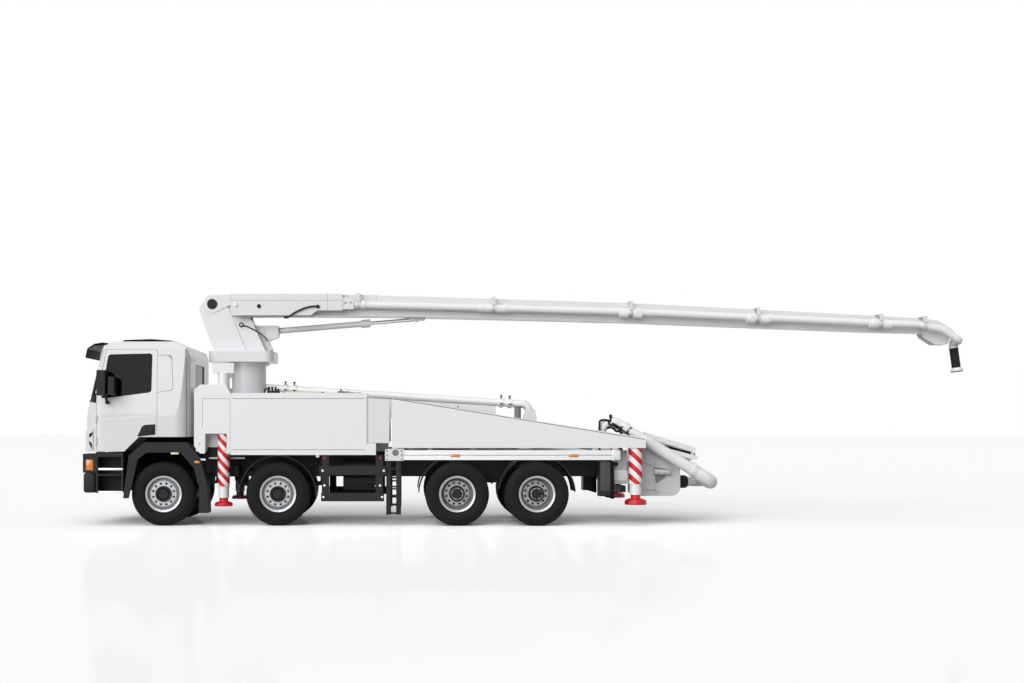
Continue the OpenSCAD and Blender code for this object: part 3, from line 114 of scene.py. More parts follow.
# Chassis enamel over a rough casting or rolled steel
def chassisEnamel(name, code, roughness=0.5, specular=0.22):
    material, tree, shader = newMaterial(name, code, Roughness=roughness, Specular_IOR_Level=specular)
    grain(tree, shader, size=14, depth=0.2, strength=0.25)
    return material


# Polypropylene, moulded with a fine leather grain that kills the gloss
def mouldedPolypropylene(name, code, roughness=0.6, specular=0.2):
    material, tree, shader = newMaterial(name, code, Roughness=roughness, Specular_IOR_Level=specular)
    grain(tree, shader, size=5, depth=0.12, strength=0.3)
    return material


# Vulcanised rubber: dull and slightly mottled
def vulcanisedRubber(name, code, roughness=0.72):
    material, tree, shader = newMaterial(name, code, Roughness=roughness, Specular_IOR_Level=0.15)
    noise = grain(tree, shader, size=7, depth=0.3, strength=0.35)
    ramp = addNode(tree, "ShaderNodeMapRange", inputs={"To Min": roughness - 0.1, "To Max": roughness + 0.1},
                   links={"Value": noise.outputs["Fac"]})
    tree.links.new(ramp.outputs[0], shader.inputs["Roughness"])
    return material


# Extruded aluminium with fine die lines along it
def extrudedAluminium(name, code):
    material, tree, shader = newMaterial(name, code, Metallic=0.85, Roughness=0.38)
    grain(tree, shader, size=8, depth=0.05, strength=0.3, stretch=(0.02, 1, 1))
    return material


# Pressed steel wheel, painted silver
def silverLacquer(name, code):
    material, tree, shader = newMaterial(name, code, Metallic=0.55, Roughness=0.36, Coat_Weight=0.2)
    grain(tree, shader, size=10, depth=0.05, strength=0.2)
    return material


# Woven seat upholstery: dull, with the weave as fine ribs
def wovenUpholstery(name, code):
    material, tree, shader = newMaterial(name, code, Roughness=0.9, Sheen_Weight=0.3, Specular_IOR_Level=0.1)
    grain(tree, shader, size=3, depth=0.6, strength=0.5, stretch=(1, 0.3, 1))
    return material


# Laminated glass with a dark tint, made near black and nearly opaque as painted shade for the dark cab inside behind
# it
def tintedAndShadedGlass(name, code):
    return newMaterial(name, code, Roughness=0.03, IOR=1.5, Specular_IOR_Level=0.08, Alpha=0.955)[0]


# Acrylic lamp lens: clear colour, with a little glow that is painted light, as no lamp behind it is lit
def acrylicLens(name, code, glow=0.12):
    material, tree, shader = newMaterial(name, code, Roughness=0.12, IOR=1.49, Coat_Weight=0.5)
    shader.inputs["Emission Color"].default_value = srgb(code)
    shader.inputs["Emission Strength"].default_value = glow
    return material


# Zinc-plated steel: bright, faintly mottled
def zincPlate(name, code):
    material, tree, shader = newMaterial(name, code, Metallic=0.9, Roughness=0.35)
    grain(tree, shader, size=4, depth=0.03, strength=0.2)
    return material


# Reflective foil in slanting red and white stripes, on a jack's tube
def stripedFoil(name, redCode, whiteCode, pitch, slant):
    material, tree, shader = newMaterial(name, whiteCode, Roughness=0.4, IOR=1.5)
    coords = addNode(tree, "ShaderNodeTexCoord")
    axes = addNode(tree, "ShaderNodeSeparateXYZ", links={0: coords.outputs["Object"]})
    slope = addNode(tree, "ShaderNodeMath", {"operation": "MULTIPLY"}, {1: slant}, {0: axes.outputs["X"]})
    total = addNode(tree, "ShaderNodeMath", {"operation": "ADD"}, links={0: slope.outputs[0], 1: axes.outputs["Z"]})
    turns = addNode(tree, "ShaderNodeMath", {"operation": "DIVIDE"}, {1: pitch / 1000}, {0: total.outputs[0]})
    part = addNode(tree, "ShaderNodeMath", {"operation": "FRACT"}, links={0: turns.outputs[0]})
    isRed = addNode(tree, "ShaderNodeMath", {"operation": "LESS_THAN"}, {1: 0.5}, {0: part.outputs[0]})
    mix = addNode(tree, "ShaderNodeMix", {"data_type": "RGBA"}, links={"Factor": isRed.outputs[0]})
    mix.inputs[6].default_value = srgb(whiteCode)  # a colour mix has its colours at 6 and 7, its result at 2
    mix.inputs[7].default_value = srgb(redCode)
    tree.links.new(mix.outputs[2], shader.inputs["Base Color"])
    return material


# Gloss enamel in two colours: a white rod above a height, its red foot below it
def twoTone(name, upperCode, lowerCode, height):
    material, tree, shader = newMaterial(name, upperCode, Roughness=0.3, IOR=1.5, Coat_Weight=0.2)
    coords = addNode(tree, "ShaderNodeTexCoord")
    axes = addNode(tree, "ShaderNodeSeparateXYZ", links={0: coords.outputs["Object"]})
    isLow = addNode(tree, "ShaderNodeMath", {"operation": "LESS_THAN"}, {1: height / 1000}, {0: axes.outputs["Z"]})
    mix = addNode(tree, "ShaderNodeMix", {"data_type": "RGBA"}, links={"Factor": isLow.outputs[0]})
    mix.inputs[6].default_value = srgb(upperCode)
    mix.inputs[7].default_value = srgb(lowerCode)
    tree.links.new(mix.outputs[2], shader.inputs["Base Color"])
    return material


finishes = {
    "lightGrey": sprayedEnamel("lightGreyEnamel", "DFE0E2"),
    "panelWhite": sprayedEnamel("panelWhiteEnamel", "E9EAEB"),
    # the cab's white paint, darkened below the panels' white as painted shade
    "cabWhite": sprayedEnamel("cabWhiteEnamel", "D9DADB", 0.26),
    "chassisBlack": chassisEnamel("chassisBlackEnamel", "1A1A1C"),
    "castBlack": chassisEnamel("castIronEnamel", "202022", 0.6),
    "hubBlack": chassisEnamel("hubBlackEnamel", "18181A", 0.5),
    "guardGrey": mouldedPolypropylene("guardPolypropylene", "262628"),
    "trimBlack": mouldedPolypropylene("trimPolypropylene", "141415", 0.4),
    "visorBlack": mouldedPolypropylene("visorAcrylic", "040405", 0.3, 0.05),
    "tyreRubber": vulcanisedRubber("tyreRubber", "171718"),
    "hoseRubber": vulcanisedRubber("hoseRubber", "1B1B1C", 0.6),
    "railAluminium": extrudedAluminium("railAluminium", "D5D6D8"),
    "wheelSilver": silverLacquer("wheelSilverLacquer", "ABADAF"),
    "windowGlass": tintedAndShadedGlass("windowGlass", "050506"),
    # the amber, red, clear and pale amber lenses glow as painted light; the red and pale amber reflectors are no
    # lamps at all
    "amber": acrylicLens("amberAcrylic", "D07A08", 0.06),
    "redLens": acrylicLens("redAcrylic", "B00808"),
    "clearLens": acrylicLens("clearAcrylic", "E8ECEE", 0.05),
    "zinc": zincPlate("zincPlatedSteel", "C8CACC"),
    "paleAmber": acrylicLens("paleAmberAcrylic", "E9D9A8", 0.05),
    "paleYellow": sprayedEnamel("paleYellowEnamel", "E6DDB4", 0.4),
    "castGrey": chassisEnamel("castGreyEnamel", "7C7E81", 0.5),
    "hopperGrey": sprayedEnamel("hopperEnamel", "C6C7C9", 0.38),
    # near black for seams and edges, and also for sheets that stand in as painted shade
    "seamBlack": chassisEnamel("seamEnamel", "0E0E0F", 0.7, 0.1),
    "panelGrey": mouldedPolypropylene("boxPanelPolypropylene", "4A4A4C"),
    "hardChrome": newMaterial("hardChrome", "DDDEE0", Metallic=1.0, Roughness=0.12)[0],
    "seatCloth": wovenUpholstery("seatUpholstery", "2A2C31"),
    "cabTrim": mouldedPolypropylene("cabTrim", "3B3C40", 0.65),
    "frontStripes": stripedFoil("frontJackFoil", "C8000A", "ECECEC", 185, 1.1),
    "rearStripes": stripedFoil("rearJackFoil", "C8000A", "ECECEC", 210, 0.95),
    "frontLegPaint": twoTone("frontLegEnamel", "EDEDED", "C8000A", 476.5),
    "rearLegPaint": twoTone("rearLegEnamel", "EDEDED", "C8000A", 527.5),
}
nodeFinish = {
    "chassis_frame": "chassisBlack", "engine_block": "castBlack", "front_bumper": "guardGrey",
    "mudguards": "guardGrey", "axles": "castBlack", "deck": "lightGrey", "front_support": "lightGrey",
    "support_wings": "lightGrey", "side_panels": "panelWhite", "side_rails": "railAluminium",
    "side_guards": "guardGrey", "tanks": "chassisBlack", "hopper": "hopperGrey", "pump_cylinders": "lightGrey",
    "delivery_line": "panelWhite", "hopper_grate": "lightGrey", "cab_shell": "cabWhite", "sun_visor": "visorBlack",
    "cab_glass": "windowGlass", "cab_interior": "cabTrim", "turret": "lightGrey", "boom_arm": "lightGrey",
    "boom_pipe": "panelWhite", "end_hose": "hoseRubber", "lift_barrel": "lightGrey", "lift_rod": "hardChrome",
    "door": "cabWhite", "door_glass": "windowGlass", "mirror": "trimBlack", "front_beam": "panelWhite",
    "front_leg": "frontLegPaint", "rear_arm": "panelWhite", "rear_leg": "rearLegPaint", "tyre": "tyreRubber",
    "rim": "wheelSilver", "knuckle": "castBlack",
}
for name, node in nodes.items():
    stem = name if name in nodeFinish else max((s for s in nodeFinish if name.startswith(s + "_")), key=len)
    node.data.materials.clear()
    node.data.materials.append(finishes[nodeFinish[stem]])
print("materials made:", len(finishes))


# Shapes

mergeDistance = 0.00002  # in metres, as are bmesh's own sizes


def addBox(bm, low, high, bevel=0):  # corners in millimetres
    low, high = at(*low), at(*high)
    size = high - low
    place = Matrix.Translation((low + high) / 2) @ Matrix.Diagonal((abs(size.x), abs(size.y), abs(size.z), 1))
    made = bmesh.ops.create_cube(bm, size=1, matrix=place)
    if bevel:
        edges = list({edge for vert in made["verts"] for edge in vert.link_edges})
        bmesh.ops.bevel(bm, geom=edges, offset=bevel / 1000, segments=2, profile=0.5, affect="EDGES", material=-1)


def addRod(bm, start, end, radius, endRadius=None, steps=24):
    start, end = at(*start), at(*end)
    along = end - start
    turn = Vector((0, 0, 1)).rotation_difference(along.normalized()).to_matrix().to_4x4()
    endRadius = radius if endRadius is None else endRadius
    bmesh.ops.create_cone(bm, cap_ends=True, segments=steps, radius1=radius / 1000, radius2=endRadius / 1000,
                          depth=along.length, matrix=Matrix.Translation((start + end) / 2) @ turn)


def addPlate(bm, outline, low, high):  # an outline of (x, z), made solid from one y to another
    verts = [bm.verts.new(at(x, low, z)) for x, z in outline]
    made = bmesh.ops.extrude_face_region(bm, geom=[bm.faces.new(verts)])["geom"]
    moved = [item for item in made if isinstance(item, bmesh.types.BMVert)]
    bmesh.ops.translate(bm, verts=moved, vec=(0, (high - low) / 1000, 0))
    return verts + moved


def addLathe(bm, profile, centre, axis, start=(0, 0, 1), steps=48):  # profile of (radius, distance along the axis)
    middle, axis, start = at(*centre), Vector(axis), Vector(start)
    verts = [bm.verts.new(middle + axis * along / 1000 + start * radius / 1000) for radius, along in profile]
    edges = [bm.edges.new(pair) for pair in zip(verts, verts[1:])]
    bmesh.ops.spin(bm, geom=verts + edges, cent=middle, axis=axis, angle=math.tau, steps=steps, use_merge=True)


def addRing(bm, centre, axis, radius, thickness, steps=48):
    middle, axis = at(*centre), Vector(axis).normalized()
    across = axis.orthogonal().normalized()
    turn = across.cross(axis).to_track_quat("Z", "Y").to_matrix().to_4x4()
    ring = bmesh.ops.create_circle(bm, segments=12, radius=thickness / 1000,
                                   matrix=Matrix.Translation(middle + across * radius / 1000) @ turn)["verts"]
    edges = list({edge for vert in ring for edge in vert.link_edges})
    bmesh.ops.spin(bm, geom=list(ring) + edges, cent=middle, axis=axis, angle=math.tau, steps=steps, use_merge=True)


def smoothPath(points, spans):  # a curve through the points, in millimetres
    path = [points[0]] + list(points) + [points[-1]]
    line = []
    for corners in zip(path, path[1:], path[2:], path[3:]):
        for step in range(spans):
            t = step / spans
            line.append([0.5 * (2 * b + (c - a) * t + (2 * a - 5 * b + 4 * c - d) * t * t
                                + (3 * b - a - 3 * c + d) * t ** 3) for a, b, c, d in zip(*corners)])
    return line + [list(points[-1])]


def addTube(bm, points, radius, steps, spans=6):
    line = [at(*p) for p in (smoothPath(points, spans) if spans > 1 else points)]
    tangents = [(b - a).normalized() for a, b in zip([line[0]] + line[:-1], line[1:] + [line[-1]])]
    turn = Vector((0, 0, 1)).rotation_difference(tangents[0])
    ring = bmesh.ops.create_circle(bm, cap_ends=True, segments=steps, radius=radius / 1000,
                                   matrix=Matrix.Translation(line[0]) @ turn.to_matrix().to_4x4())["verts"]
    edges = list({edge for vert in ring for edge in vert.link_edges if edge.other_vert(vert) in ring})
    spot, facing = line[0], tangents[0]
    for point, tangent in zip(line[1:], tangents[1:]):
        made = bmesh.ops.extrude_edge_only(bm, edges=edges)["geom"]
        verts = [item for item in made if isinstance(item, bmesh.types.BMVert)]
        edges = [item for item in made if isinstance(item, bmesh.types.BMEdge)]
        bend = facing.rotation_difference(tangent).to_matrix().to_4x4()
        bmesh.ops.transform(bm, verts=verts, matrix=Matrix.Translation(point) @ bend @ Matrix.Translation(-spot))
        spot, facing = point, tangent
    bmesh.ops.contextual_create(bm, geom=edges)


def addDisc(bm, x, y, z, sign, radius, height, steps, chamfer=0):  # a round cap on a sideways face
    shoulder = y + sign * (height - chamfer)
    addRod(bm, (x, y, z), (x, shoulder, z), radius, steps=steps)
    if chamfer:
        addRod(bm, (x, shoulder, z), (x, y + sign * height, z), radius, radius - chamfer, steps)


def addBolt(bm, x, y, z, sign, size):  # a flat washer under a hexagon head
    addDisc(bm, x, y, z, sign, size * 1.1, 2, 20)
    addDisc(bm, x, y, z, sign, size, size * 0.7, 6)


def ringSpots(x, z, radius, count, shift=0):  # places round a circle that is seen from the side
    turns = [math.tau * (k + shift) / count for k in range(count)]
    return [(x + radius * math.cos(turn), z + radius * math.sin(turn)) for turn in turns]


def finishPiece(bm, name, body, finish, smooth=40, merge=False):
    if merge:
        bmesh.ops.remove_doubles(bm, verts=bm.verts, dist=mergeDistance)
    bmesh.ops.recalc_face_normals(bm, faces=bm.faces)
    mesh = bpy.data.meshes.new(name)
    bm.to_mesh(mesh)
    bm.free()
    piece = bpy.data.objects.new(name, mesh)
    bpy.context.scene.collection.objects.link(piece)
    mesh.materials.append(finishes[finish])
    mesh.shade_smooth()
    mesh.set_sharp_from_angle(angle=math.radians(smooth))
    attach(piece, body)
    return piece


# A piece's parts stand in rows, in millimetres:
#   boxes (low, high, bevel), rods (start, end, radius, end radius, steps), plates (outline, low y, high y),
#   tubes (points, radius, steps), discs (x, y, z, radius, height, steps, chamfer), bolts (x, y, z, size)
# A sign of -1 mirrors them to the left side, where discs and bolts stand out to the left
def addParts(bm, parts, sign=1):
    def flip(spot):
        return spot[0], sign * spot[1], spot[2]
    for low, high, bevel in parts.get("boxes", ()):
        addBox(bm, flip(low), flip(high), bevel)
    for start, end, *sizes in parts.get("rods", ()):
        addRod(bm, flip(start), flip(end), *sizes)
    for outline, low, high in parts.get("plates", ()):
        addPlate(bm, outline, sign * low, sign * high)
    for points, *sizes in parts.get("tubes", ()):
        addTube(bm, [flip(point) for point in points], *sizes)
    for x, y, z, *sizes in parts.get("discs", ()):
        addDisc(bm, x, sign * y, z, sign, *sizes)
    for x, y, z, size in parts.get("bolts", ()):
        addBolt(bm, x, sign * y, z, sign, size)


def buildPiece(name, parts, sign=1, side=""):
    bm = bmesh.new()
    addParts(bm, parts, sign)
    body = parts.get("body", "chassis").format(side=side)
    return finishPiece(bm, name, body, parts["finish"], parts.get("smooth", 40))


def buildPairs(pieces):  # each piece on the left and on the right side
    for side, sign in sides.items():
        for name, parts in pieces.items():
            buildPiece(f"{name}{side.capitalize()}", parts, sign, side)


skinLimits = {"merge": 0.00005, "cut": 0.00001, "facing": 0.03}  # metres, metres, and cosine to the side


def skinPatch(source, name, body, sign, finish, outline, lift, lowLift=None, drop=3, inner=0):
    # A skin over a convex outline (x, z) of a node's side, with its rim turned in by the drop; lowLift is the lift
    # at the lowest edge, and faces nearer to the middle than inner are left out
    bm = bmesh.new()
    bm.from_mesh(nodes[source].data)
    bmesh.ops.remove_doubles(bm, verts=bm.verts, dist=skinLimits["merge"])
    outward = Vector((0, sign, 0))
    wrong = [face for face in bm.faces if face.normal.dot(outward) < skinLimits["facing"]
             or face.calc_center_median().y * sign < inner / 1000]
    bmesh.ops.delete(bm, geom=wrong, context="FACES")
    middle = sum((at(x, 0, z) for x, z in outline), Vector()) / len(outline)
    for (x0, z0), (x1, z1) in zip(outline, outline[1:] + outline[:1]):
        edge = at(x1, 0, z1) - at(x0, 0, z0)
        normal = Vector((edge.z, 0, -edge.x))
        if normal.dot(middle - at(x0, 0, z0)) > 0:
            normal.negate()
        bmesh.ops.bisect_plane(bm, geom=bm.verts[:] + bm.edges[:] + bm.faces[:], dist=skinLimits["cut"],
                               plane_co=at(x0, 0, z0), plane_no=normal, clear_outer=True)
    bm.normal_update()
    heights = [vert.co.z for vert in bm.verts] or [0]
    low, high = min(heights), max(heights)
    lowLift = lift if lowLift is None else lowLift
    shifts = [(vert, vert.normal.copy(), (high - vert.co.z) / max(high - low, 1e-6)) for vert in bm.verts]
    for vert, normal, share in shifts:
        vert.co += normal * (lift + (lowLift - lift) * share) / 1000
    normals = {vert.co.to_tuple(6): normal for vert, normal, share in shifts}
    rim = [edge for edge in bm.edges if edge.is_boundary]
    for item in bmesh.ops.extrude_edge_only(bm, edges=rim)["geom"]:
        if isinstance(item, bmesh.types.BMVert):
            item.co -= normals.get(item.co.to_tuple(6), outward) * drop / 1000
    return finishPiece(bm, name, body, finish, 30)


wheels = {"1": "front", "2": "front", "3": "rear", "4": "rear"}

# Tyres: ribbed tread with notched shoulders, two sidewall rings
tyre = {"radius": 540, "halfWidth": 152.5, "treadShare": 0.73, "grooves": (62, 22, -22, -62), "grooveDepth": 11,
        "grooveWidth": 9, "grooveTaper": 2, "pitches": 60, "notchDepth": 9, "notchInset": 1.5, "notchBeyond": 67,
        "twinHalf": 172,
        "wall": ((286.3, 0.72), (312, 0.75), (335, 0.87), (345, 0.9), (349, 0.91), (365, 0.965), (400, 1),
                 (430, 0.997), (434, 1), (444, 0.995), (448, 0.975), (480, 0.95), (505, 0.9), (522, 0.83),
                 (534, 0.775))}  # radius, and share of the half width


def tyreProfile():
    half, top = tyre["halfWidth"], tyre["radius"]
    tread, bottom, w = half * tyre["treadShare"], top - tyre["grooveDepth"], tyre["grooveWidth"] / 2
    wall = [(radius, half * share) for radius, share in tyre["wall"]] + [(top, tread)]
    ribs = []
    for groove in tyre["grooves"]:
        ribs += [(top, groove + w), (bottom, groove + w - tyre["grooveTaper"]),
                 (bottom, groove - w + tyre["grooveTaper"]), (top, groove - w)]
    return wall + ribs + [(radius, -y) for radius, y in reversed(wall)]


def notchTread(bm, centre):  # every third face of the shoulders is sunk
    middle = at(*centre)
    chosen = []
    for face in bm.faces:
        spot = face.calc_center_median() - middle
        isThird = math.atan2(spot.z, spot.x) / math.tau * tyre["pitches"] * 3 % 3 < 1
        isTread = math.hypot(spot.x, spot.z) > (tyre["radius"] - tyre["notchInset"]) / 1000
        isShoulder = abs(spot.y) > tyre["notchBeyond"] / 1000 and abs(face.normal.y) < 0.5
        if isThird and isTread and isShoulder:
            chosen.append(face)
    bmesh.ops.inset_individual(bm, faces=chosen, thickness=tyre["notchInset"] / 1000,
                               depth=-tyre["notchDepth"] / 1000)


for wheel, axle in wheels.items():
    for side, sign in sides.items():
        hub = jointPlace(f"wheel_spin_{wheel}_{side}")
        bm = bmesh.new()
        for offset in ((-tyre["twinHalf"], tyre["twinHalf"]) if axle == "rear" else (0,)):
            centre = (hub.x, hub.y + offset, hub.z)
            single = bmesh.new()
            addLathe(single, tyreProfile(), centre, (0, 1, 0), steps=tyre["pitches"] * 3)
            bmesh.ops.remove_doubles(single, verts=single.verts, dist=mergeDistance)
            bmesh.ops.recalc_face_normals(single, faces=single.faces)
            notchTread(single, centre)
            part = bpy.data.meshes.new("part")
            single.to_mesh(part)
            single.free()
            bm.from_mesh(part)
            bpy.data.meshes.remove(part)
        piece = finishPiece(bm, f"treadedTyre{wheel}{side.capitalize()}", f"wheel_{wheel}_{side}", "tyreRubber", 35)
        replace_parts(piece, f"tyre_{wheel}_{side}")
print("tyres made")

# Wheel nuts on their washers, and hub caps
wheelTrim = {"nuts": 12, "circle": 182, "rods": ((20, 4, 20), (15, 24, 6), (8, 38, 12)),  # radius, length, steps
             "frontFace": 118, "rearFace": 14, "frontHub": 165, "rearHub": 225, "capLift": 3,
             "cap": ((0, 0), (82, 0), (86, -3), (102, -3), (112, 0), (130, -1), (134.6, -12), (134.8, -60)),
             "capBolts": 8, "capCircle": 94, "boltSize": 8}
for wheel, axle in wheels.items():
    for side, sign in sides.items():
        hub = jointPlace(f"wheel_spin_{wheel}_{side}")
        face = hub.y + sign * wheelTrim[f"{axle}Face"]
        hubFace = hub.y + sign * wheelTrim[f"{axle}Hub"]
        bm = bmesh.new()
        for x, z in ringSpots(hub.x, hub.z, wheelTrim["circle"], wheelTrim["nuts"], 0.5):
            for radius, length, steps in wheelTrim["rods"]:
                addRod(bm, (x, face, z), (x, face + sign * length, z), radius, steps=steps)
        finishPiece(bm, f"wheelNuts{wheel}{side.capitalize()}", f"wheel_{wheel}_{side}", "hubBlack")
        bm = bmesh.new()
        cap = [(radius, sign * along) for radius, along in wheelTrim["cap"]]
        addLathe(bm, cap, (hub.x, hubFace + sign * wheelTrim["capLift"], hub.z), (0, 1, 0))
        for x, z in ringSpots(hub.x, hub.z, wheelTrim["capCircle"], wheelTrim["capBolts"]):
            head = hubFace + sign * wheelTrim["boltSize"]
            addRod(bm, (x, hubFace, z), (x, head, z), wheelTrim["boltSize"], steps=6)
        finishPiece(bm, f"hubCap{wheel}{side.capitalize()}", f"wheel_{wheel}_{side}", "hubBlack", 30)
print("wheel trim made")

# Striped foil sleeves on the jacks
jackFoil = {"y": 1122, "thickness": 0.3, "steps": 64,
            "jacks": {"front": (1018, 101.4, 669.5, 1560), "rear": (8012, 115.4, 713.5, 1320.5)}}
for jack, (x, radius, low, high) in jackFoil["jacks"].items():
    for side, sign in sides.items():
        bm = bmesh.new()
        y = sign * jackFoil["y"]
        addRod(bm, (x, y, low), (x, y, high), radius, steps=jackFoil["steps"])
        caps = [face for face in bm.faces if abs(face.normal.z) > 0.9]
        bmesh.ops.delete(bm, geom=caps, context="FACES_ONLY")
        bmesh.ops.solidify(bm, geom=bm.faces[:], thickness=jackFoil["thickness"] / 1000)
        finishPiece(bm, f"{jack}JackFoil{side.capitalize()}", f"{jack}_outrigger_{side}", f"{jack}Stripes")
print("jack foil made")


# Cab skins: wrap-around corner panels with their slots, blank rear windows ringed with painted shade, dark posts,
# creases and seams
def pushedOut(outline, amount):  # each corner moved away from the outline's middle
    mx = sum(x for x, z in outline) / len(outline)
    mz = sum(z for x, z in outline) / len(outline)
    return [(x + math.copysign(amount, x - mx), z + math.copysign(amount, z - mz)) for x, z in outline]


def bandParts(points):  # a bent band, as convex quarters between its upper and its lower line
    half = len(points) // 2
    upper, lower = points[:half], points[half:][::-1]
    return [[upper[i], upper[i + 1], lower[i + 1], lower[i]] for i in range(half - 1)]


blankWindow = [(-100, 2262), (-100, 2885), (120, 2885), (146, 2850), (165, 2330), (140, 2300)]
cabSkins = {
    "windscreenPillar": {"finish": "visorBlack", "lift": 2,
                         "outline": [(-1300, 2077), (-1124, 2131), (-1124, 2238), (-1300, 2290)]},
    "screenPost": {"finish": "visorBlack", "lift": 2,
                   "outline": [(-1300, 2238), (-1146, 2238), (-1096, 2574), (-1300, 2574)]},
    "mirrorCorner": {"finish": "trimBlack", "lift": 3,
                     "outline": [(-1203, 2095), (-1124, 2080), (-1124, 2215), (-1203, 2221)]},
    "cornerPanel": {"finish": "cabWhite", "lift": 24, "drop": 26, "inner": 900,
                    "outline": [(-1344, 1270), (-1172, 1270), (-1172, 1640), (-1344, 1600)]},
    "cornerSlot0": {"finish": "trimBlack", "lift": 25, "drop": 4, "inner": 900,
                    "outline": [(-1240, 1560), (-1172, 1590), (-1172, 1560), (-1200, 1510), (-1240, 1500)]},
    "cornerSlot1": {"finish": "trimBlack", "lift": 25, "drop": 4, "inner": 900,
                    "outline": [(-1240, 1440), (-1190, 1400), (-1172, 1290), (-1210, 1340), (-1240, 1400)]},
    # a dark ring round the blank window: painted shade along its pressed outline
    "blankWindowShadeRing": {"finish": "guardGrey", "lift": 0.8, "outline": pushedOut(blankWindow, 6)},
    "blankWindow": {"finish": "cabWhite", "lift": 2.2, "outline": blankWindow},
    "rearCornerSeam": {"finish": "guardGrey", "lift": 0.7,
                       "outline": [(386, 1512), (392, 1512), (392, 2860), (386, 2860)]},
}
creases = {"lift": 0.3, "lowLift": 5,  # the rear band's lower line starts with one point twice
           "rear": [(-92, 1878), (199, 1878), (274, 1836), (180, 1850), (-92, 1850), (-92, 1850)],
           "door": [(-1112, 1793), (-600, 1842), (-103, 1878), (-103, 1850), (-600, 1814), (-1112, 1765)]}
for side, sign in sides.items():
    tag, door = side.capitalize(), f"door_{side}"
    for name, skin in cabSkins.items():
        skinPatch("cab_shell", f"{name}{tag}", "cab", sign, **skin)
    for place, source, body in (("rear", "cab_shell", "cab"), ("door", door, door)):
        for k, part in enumerate(bandParts(creases[place])):
            skinPatch(source, f"{place}Crease{k}{tag}", body, sign, "cabWhite", part, creases["lift"],
                      creases["lowLift"])
print("cab skins made")

# Cab interior: two seats with padded cushions, dashboard and steering wheel
seats = {"cuts": 15, "lean": 0.157, "leanFrom": 1700, "rounding": 0.4, "channel": 9, "channelShare": 0.14,
         "cushions": {  # low, high, places of the sewn channels, and the pad's thin axis
             "seatCushion": ((-412, 500, 1602), (76, 912, 1738), (-90, 90), 2),
             "seatBack": ((4, 505, 1725), (112, 905, 2190), (-95, 95), 0),
             "headrest": ((14, 585, 2218), (96, 825, 2392), (), 0)}}


def addCushion(bm, low, high, channels, thin):  # a crowned pad with sewn channels across its thin side
    bmesh.ops.create_cube(bm, size=2)
    bmesh.ops.subdivide_edges(bm, edges=bm.edges[:], cuts=seats["cuts"], use_grid_fill=True)
    half = [(b - a) / 2 for a, b in zip(low, high)]
    middle = [(a + b) / 2 for a, b in zip(low, high)]
    for vert in bm.verts:
        u, v, w = vert.co
        ball = Vector((u * math.sqrt(1 - v * v / 2 - w * w / 2 + v * v * w * w / 3),
                       v * math.sqrt(1 - u * u / 2 - w * w / 2 + u * u * w * w / 3),
                       w * math.sqrt(1 - u * u / 2 - v * v / 2 + u * u * v * v / 3)))
        spot = vert.co.lerp(ball, seats["rounding"])
        sewn = sum(math.exp(-((spot.y * half[1] - line) / seats["channel"]) ** 2) for line in channels)
        spot[thin] *= 1 - seats["channelShare"] * sewn
        x, y, z = (m + h * share for m, h, share in zip(middle, half, spot))
        if thin == 0:
            x += (z - seats["leanFrom"]) * seats["lean"]
        vert.co = at(x, y, z)


for side, sign in sides.items():
    for name, (low, high, channels, thin) in seats["cushions"].items():
        bm = bmesh.new()
        addCushion(bm, low, high, channels, thin)
        if sign < 0:
            bmesh.ops.scale(bm, vec=(1, -1, 1), verts=bm.verts)
        pad = finishPiece(bm, f"{name}{side.capitalize()}", "cab", "seatCloth", 60)

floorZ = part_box("cab_interior")[0][2] * 1000
seatFrame = {  # foot plate, folds of the bellows, pan, back plate and the headrest's two rods
    "boxes": [((-300, 545, floorZ), (0, 800, floorZ + 28), 5), ((-390, 510, 1572), (70, 900, 1612), 10)]
    + [((-280 + inset, 560, floorZ + rise), (-20 - inset, 785, floorZ + rise + 18), 5)
       for inset, rise in ((0, 26), (12, 42), (0, 58))],
    "plates": [([(40, 1600), (76, 1600), (210, 2200), (190, 2200)], 640, 770)],
    "rods": [((130, y, 2150), (142, y, 2250), 7, 7, 12) for y in (650, 760)]}
dashboard = {
    "panels": (  # the dashboard itself, and the hood over its dials
        ([(-1258, 1802), (-975, 1802), (-962, 1860), (-962, 1925), (-1040, 1988), (-1237, 1988)], -995, 995),
        ([(-1170, 1986), (-1020, 1986), (-1005, 2018), (-1050, 2034), (-1170, 2020)], -880, -480)),
    "rounding": 8,
    "vents": {"boxes": [((-968, y - 70, 1868), (-956, y + 70, 1918), 4) for y in (-300, 0, 300, 620)]}}
steering = {"centre": (-820, -680, 2041), "axis": (180, 0, 140), "radius": 208, "grip": 15,
            "column": {"rods": [((-1000, -680, 1900), (-815, -680, 2044), 28, 22, 32),
                                ((-832, -680, 2032), (-808, -680, 2050), 62, 54, 32)]},
            "spokes": (0.3, 2.84, 4.71), "up": (-0.614, 0, 0.789), "reach": 206, "spokeSizes": (20, 11, 16)}
bm = bmesh.new()
for sign in (-1, 1):
    addParts(bm, seatFrame, sign)
for panel in dashboard["panels"]:
    edges = list({edge for vert in addPlate(bm, *panel) for edge in vert.link_edges})
    bmesh.ops.bevel(bm, geom=edges, offset=dashboard["rounding"] / 1000, segments=2, profile=0.5, affect="EDGES",
                    material=-1)
addParts(bm, dashboard["vents"])
addParts(bm, steering["column"])
addRing(bm, steering["centre"], steering["axis"], steering["radius"], steering["grip"])
for turn in steering["spokes"]:
    across = Vector(steering["up"]) * math.sin(turn) + Vector((0, 1, 0)) * math.cos(turn)
    addRod(bm, steering["centre"], Vector(steering["centre"]) + across * steering["reach"], *steering["spokeSizes"])
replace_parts(finishPiece(bm, "cabFurniture", "cab", "cabTrim", 35), "cab_interior")
print("cab interior made")

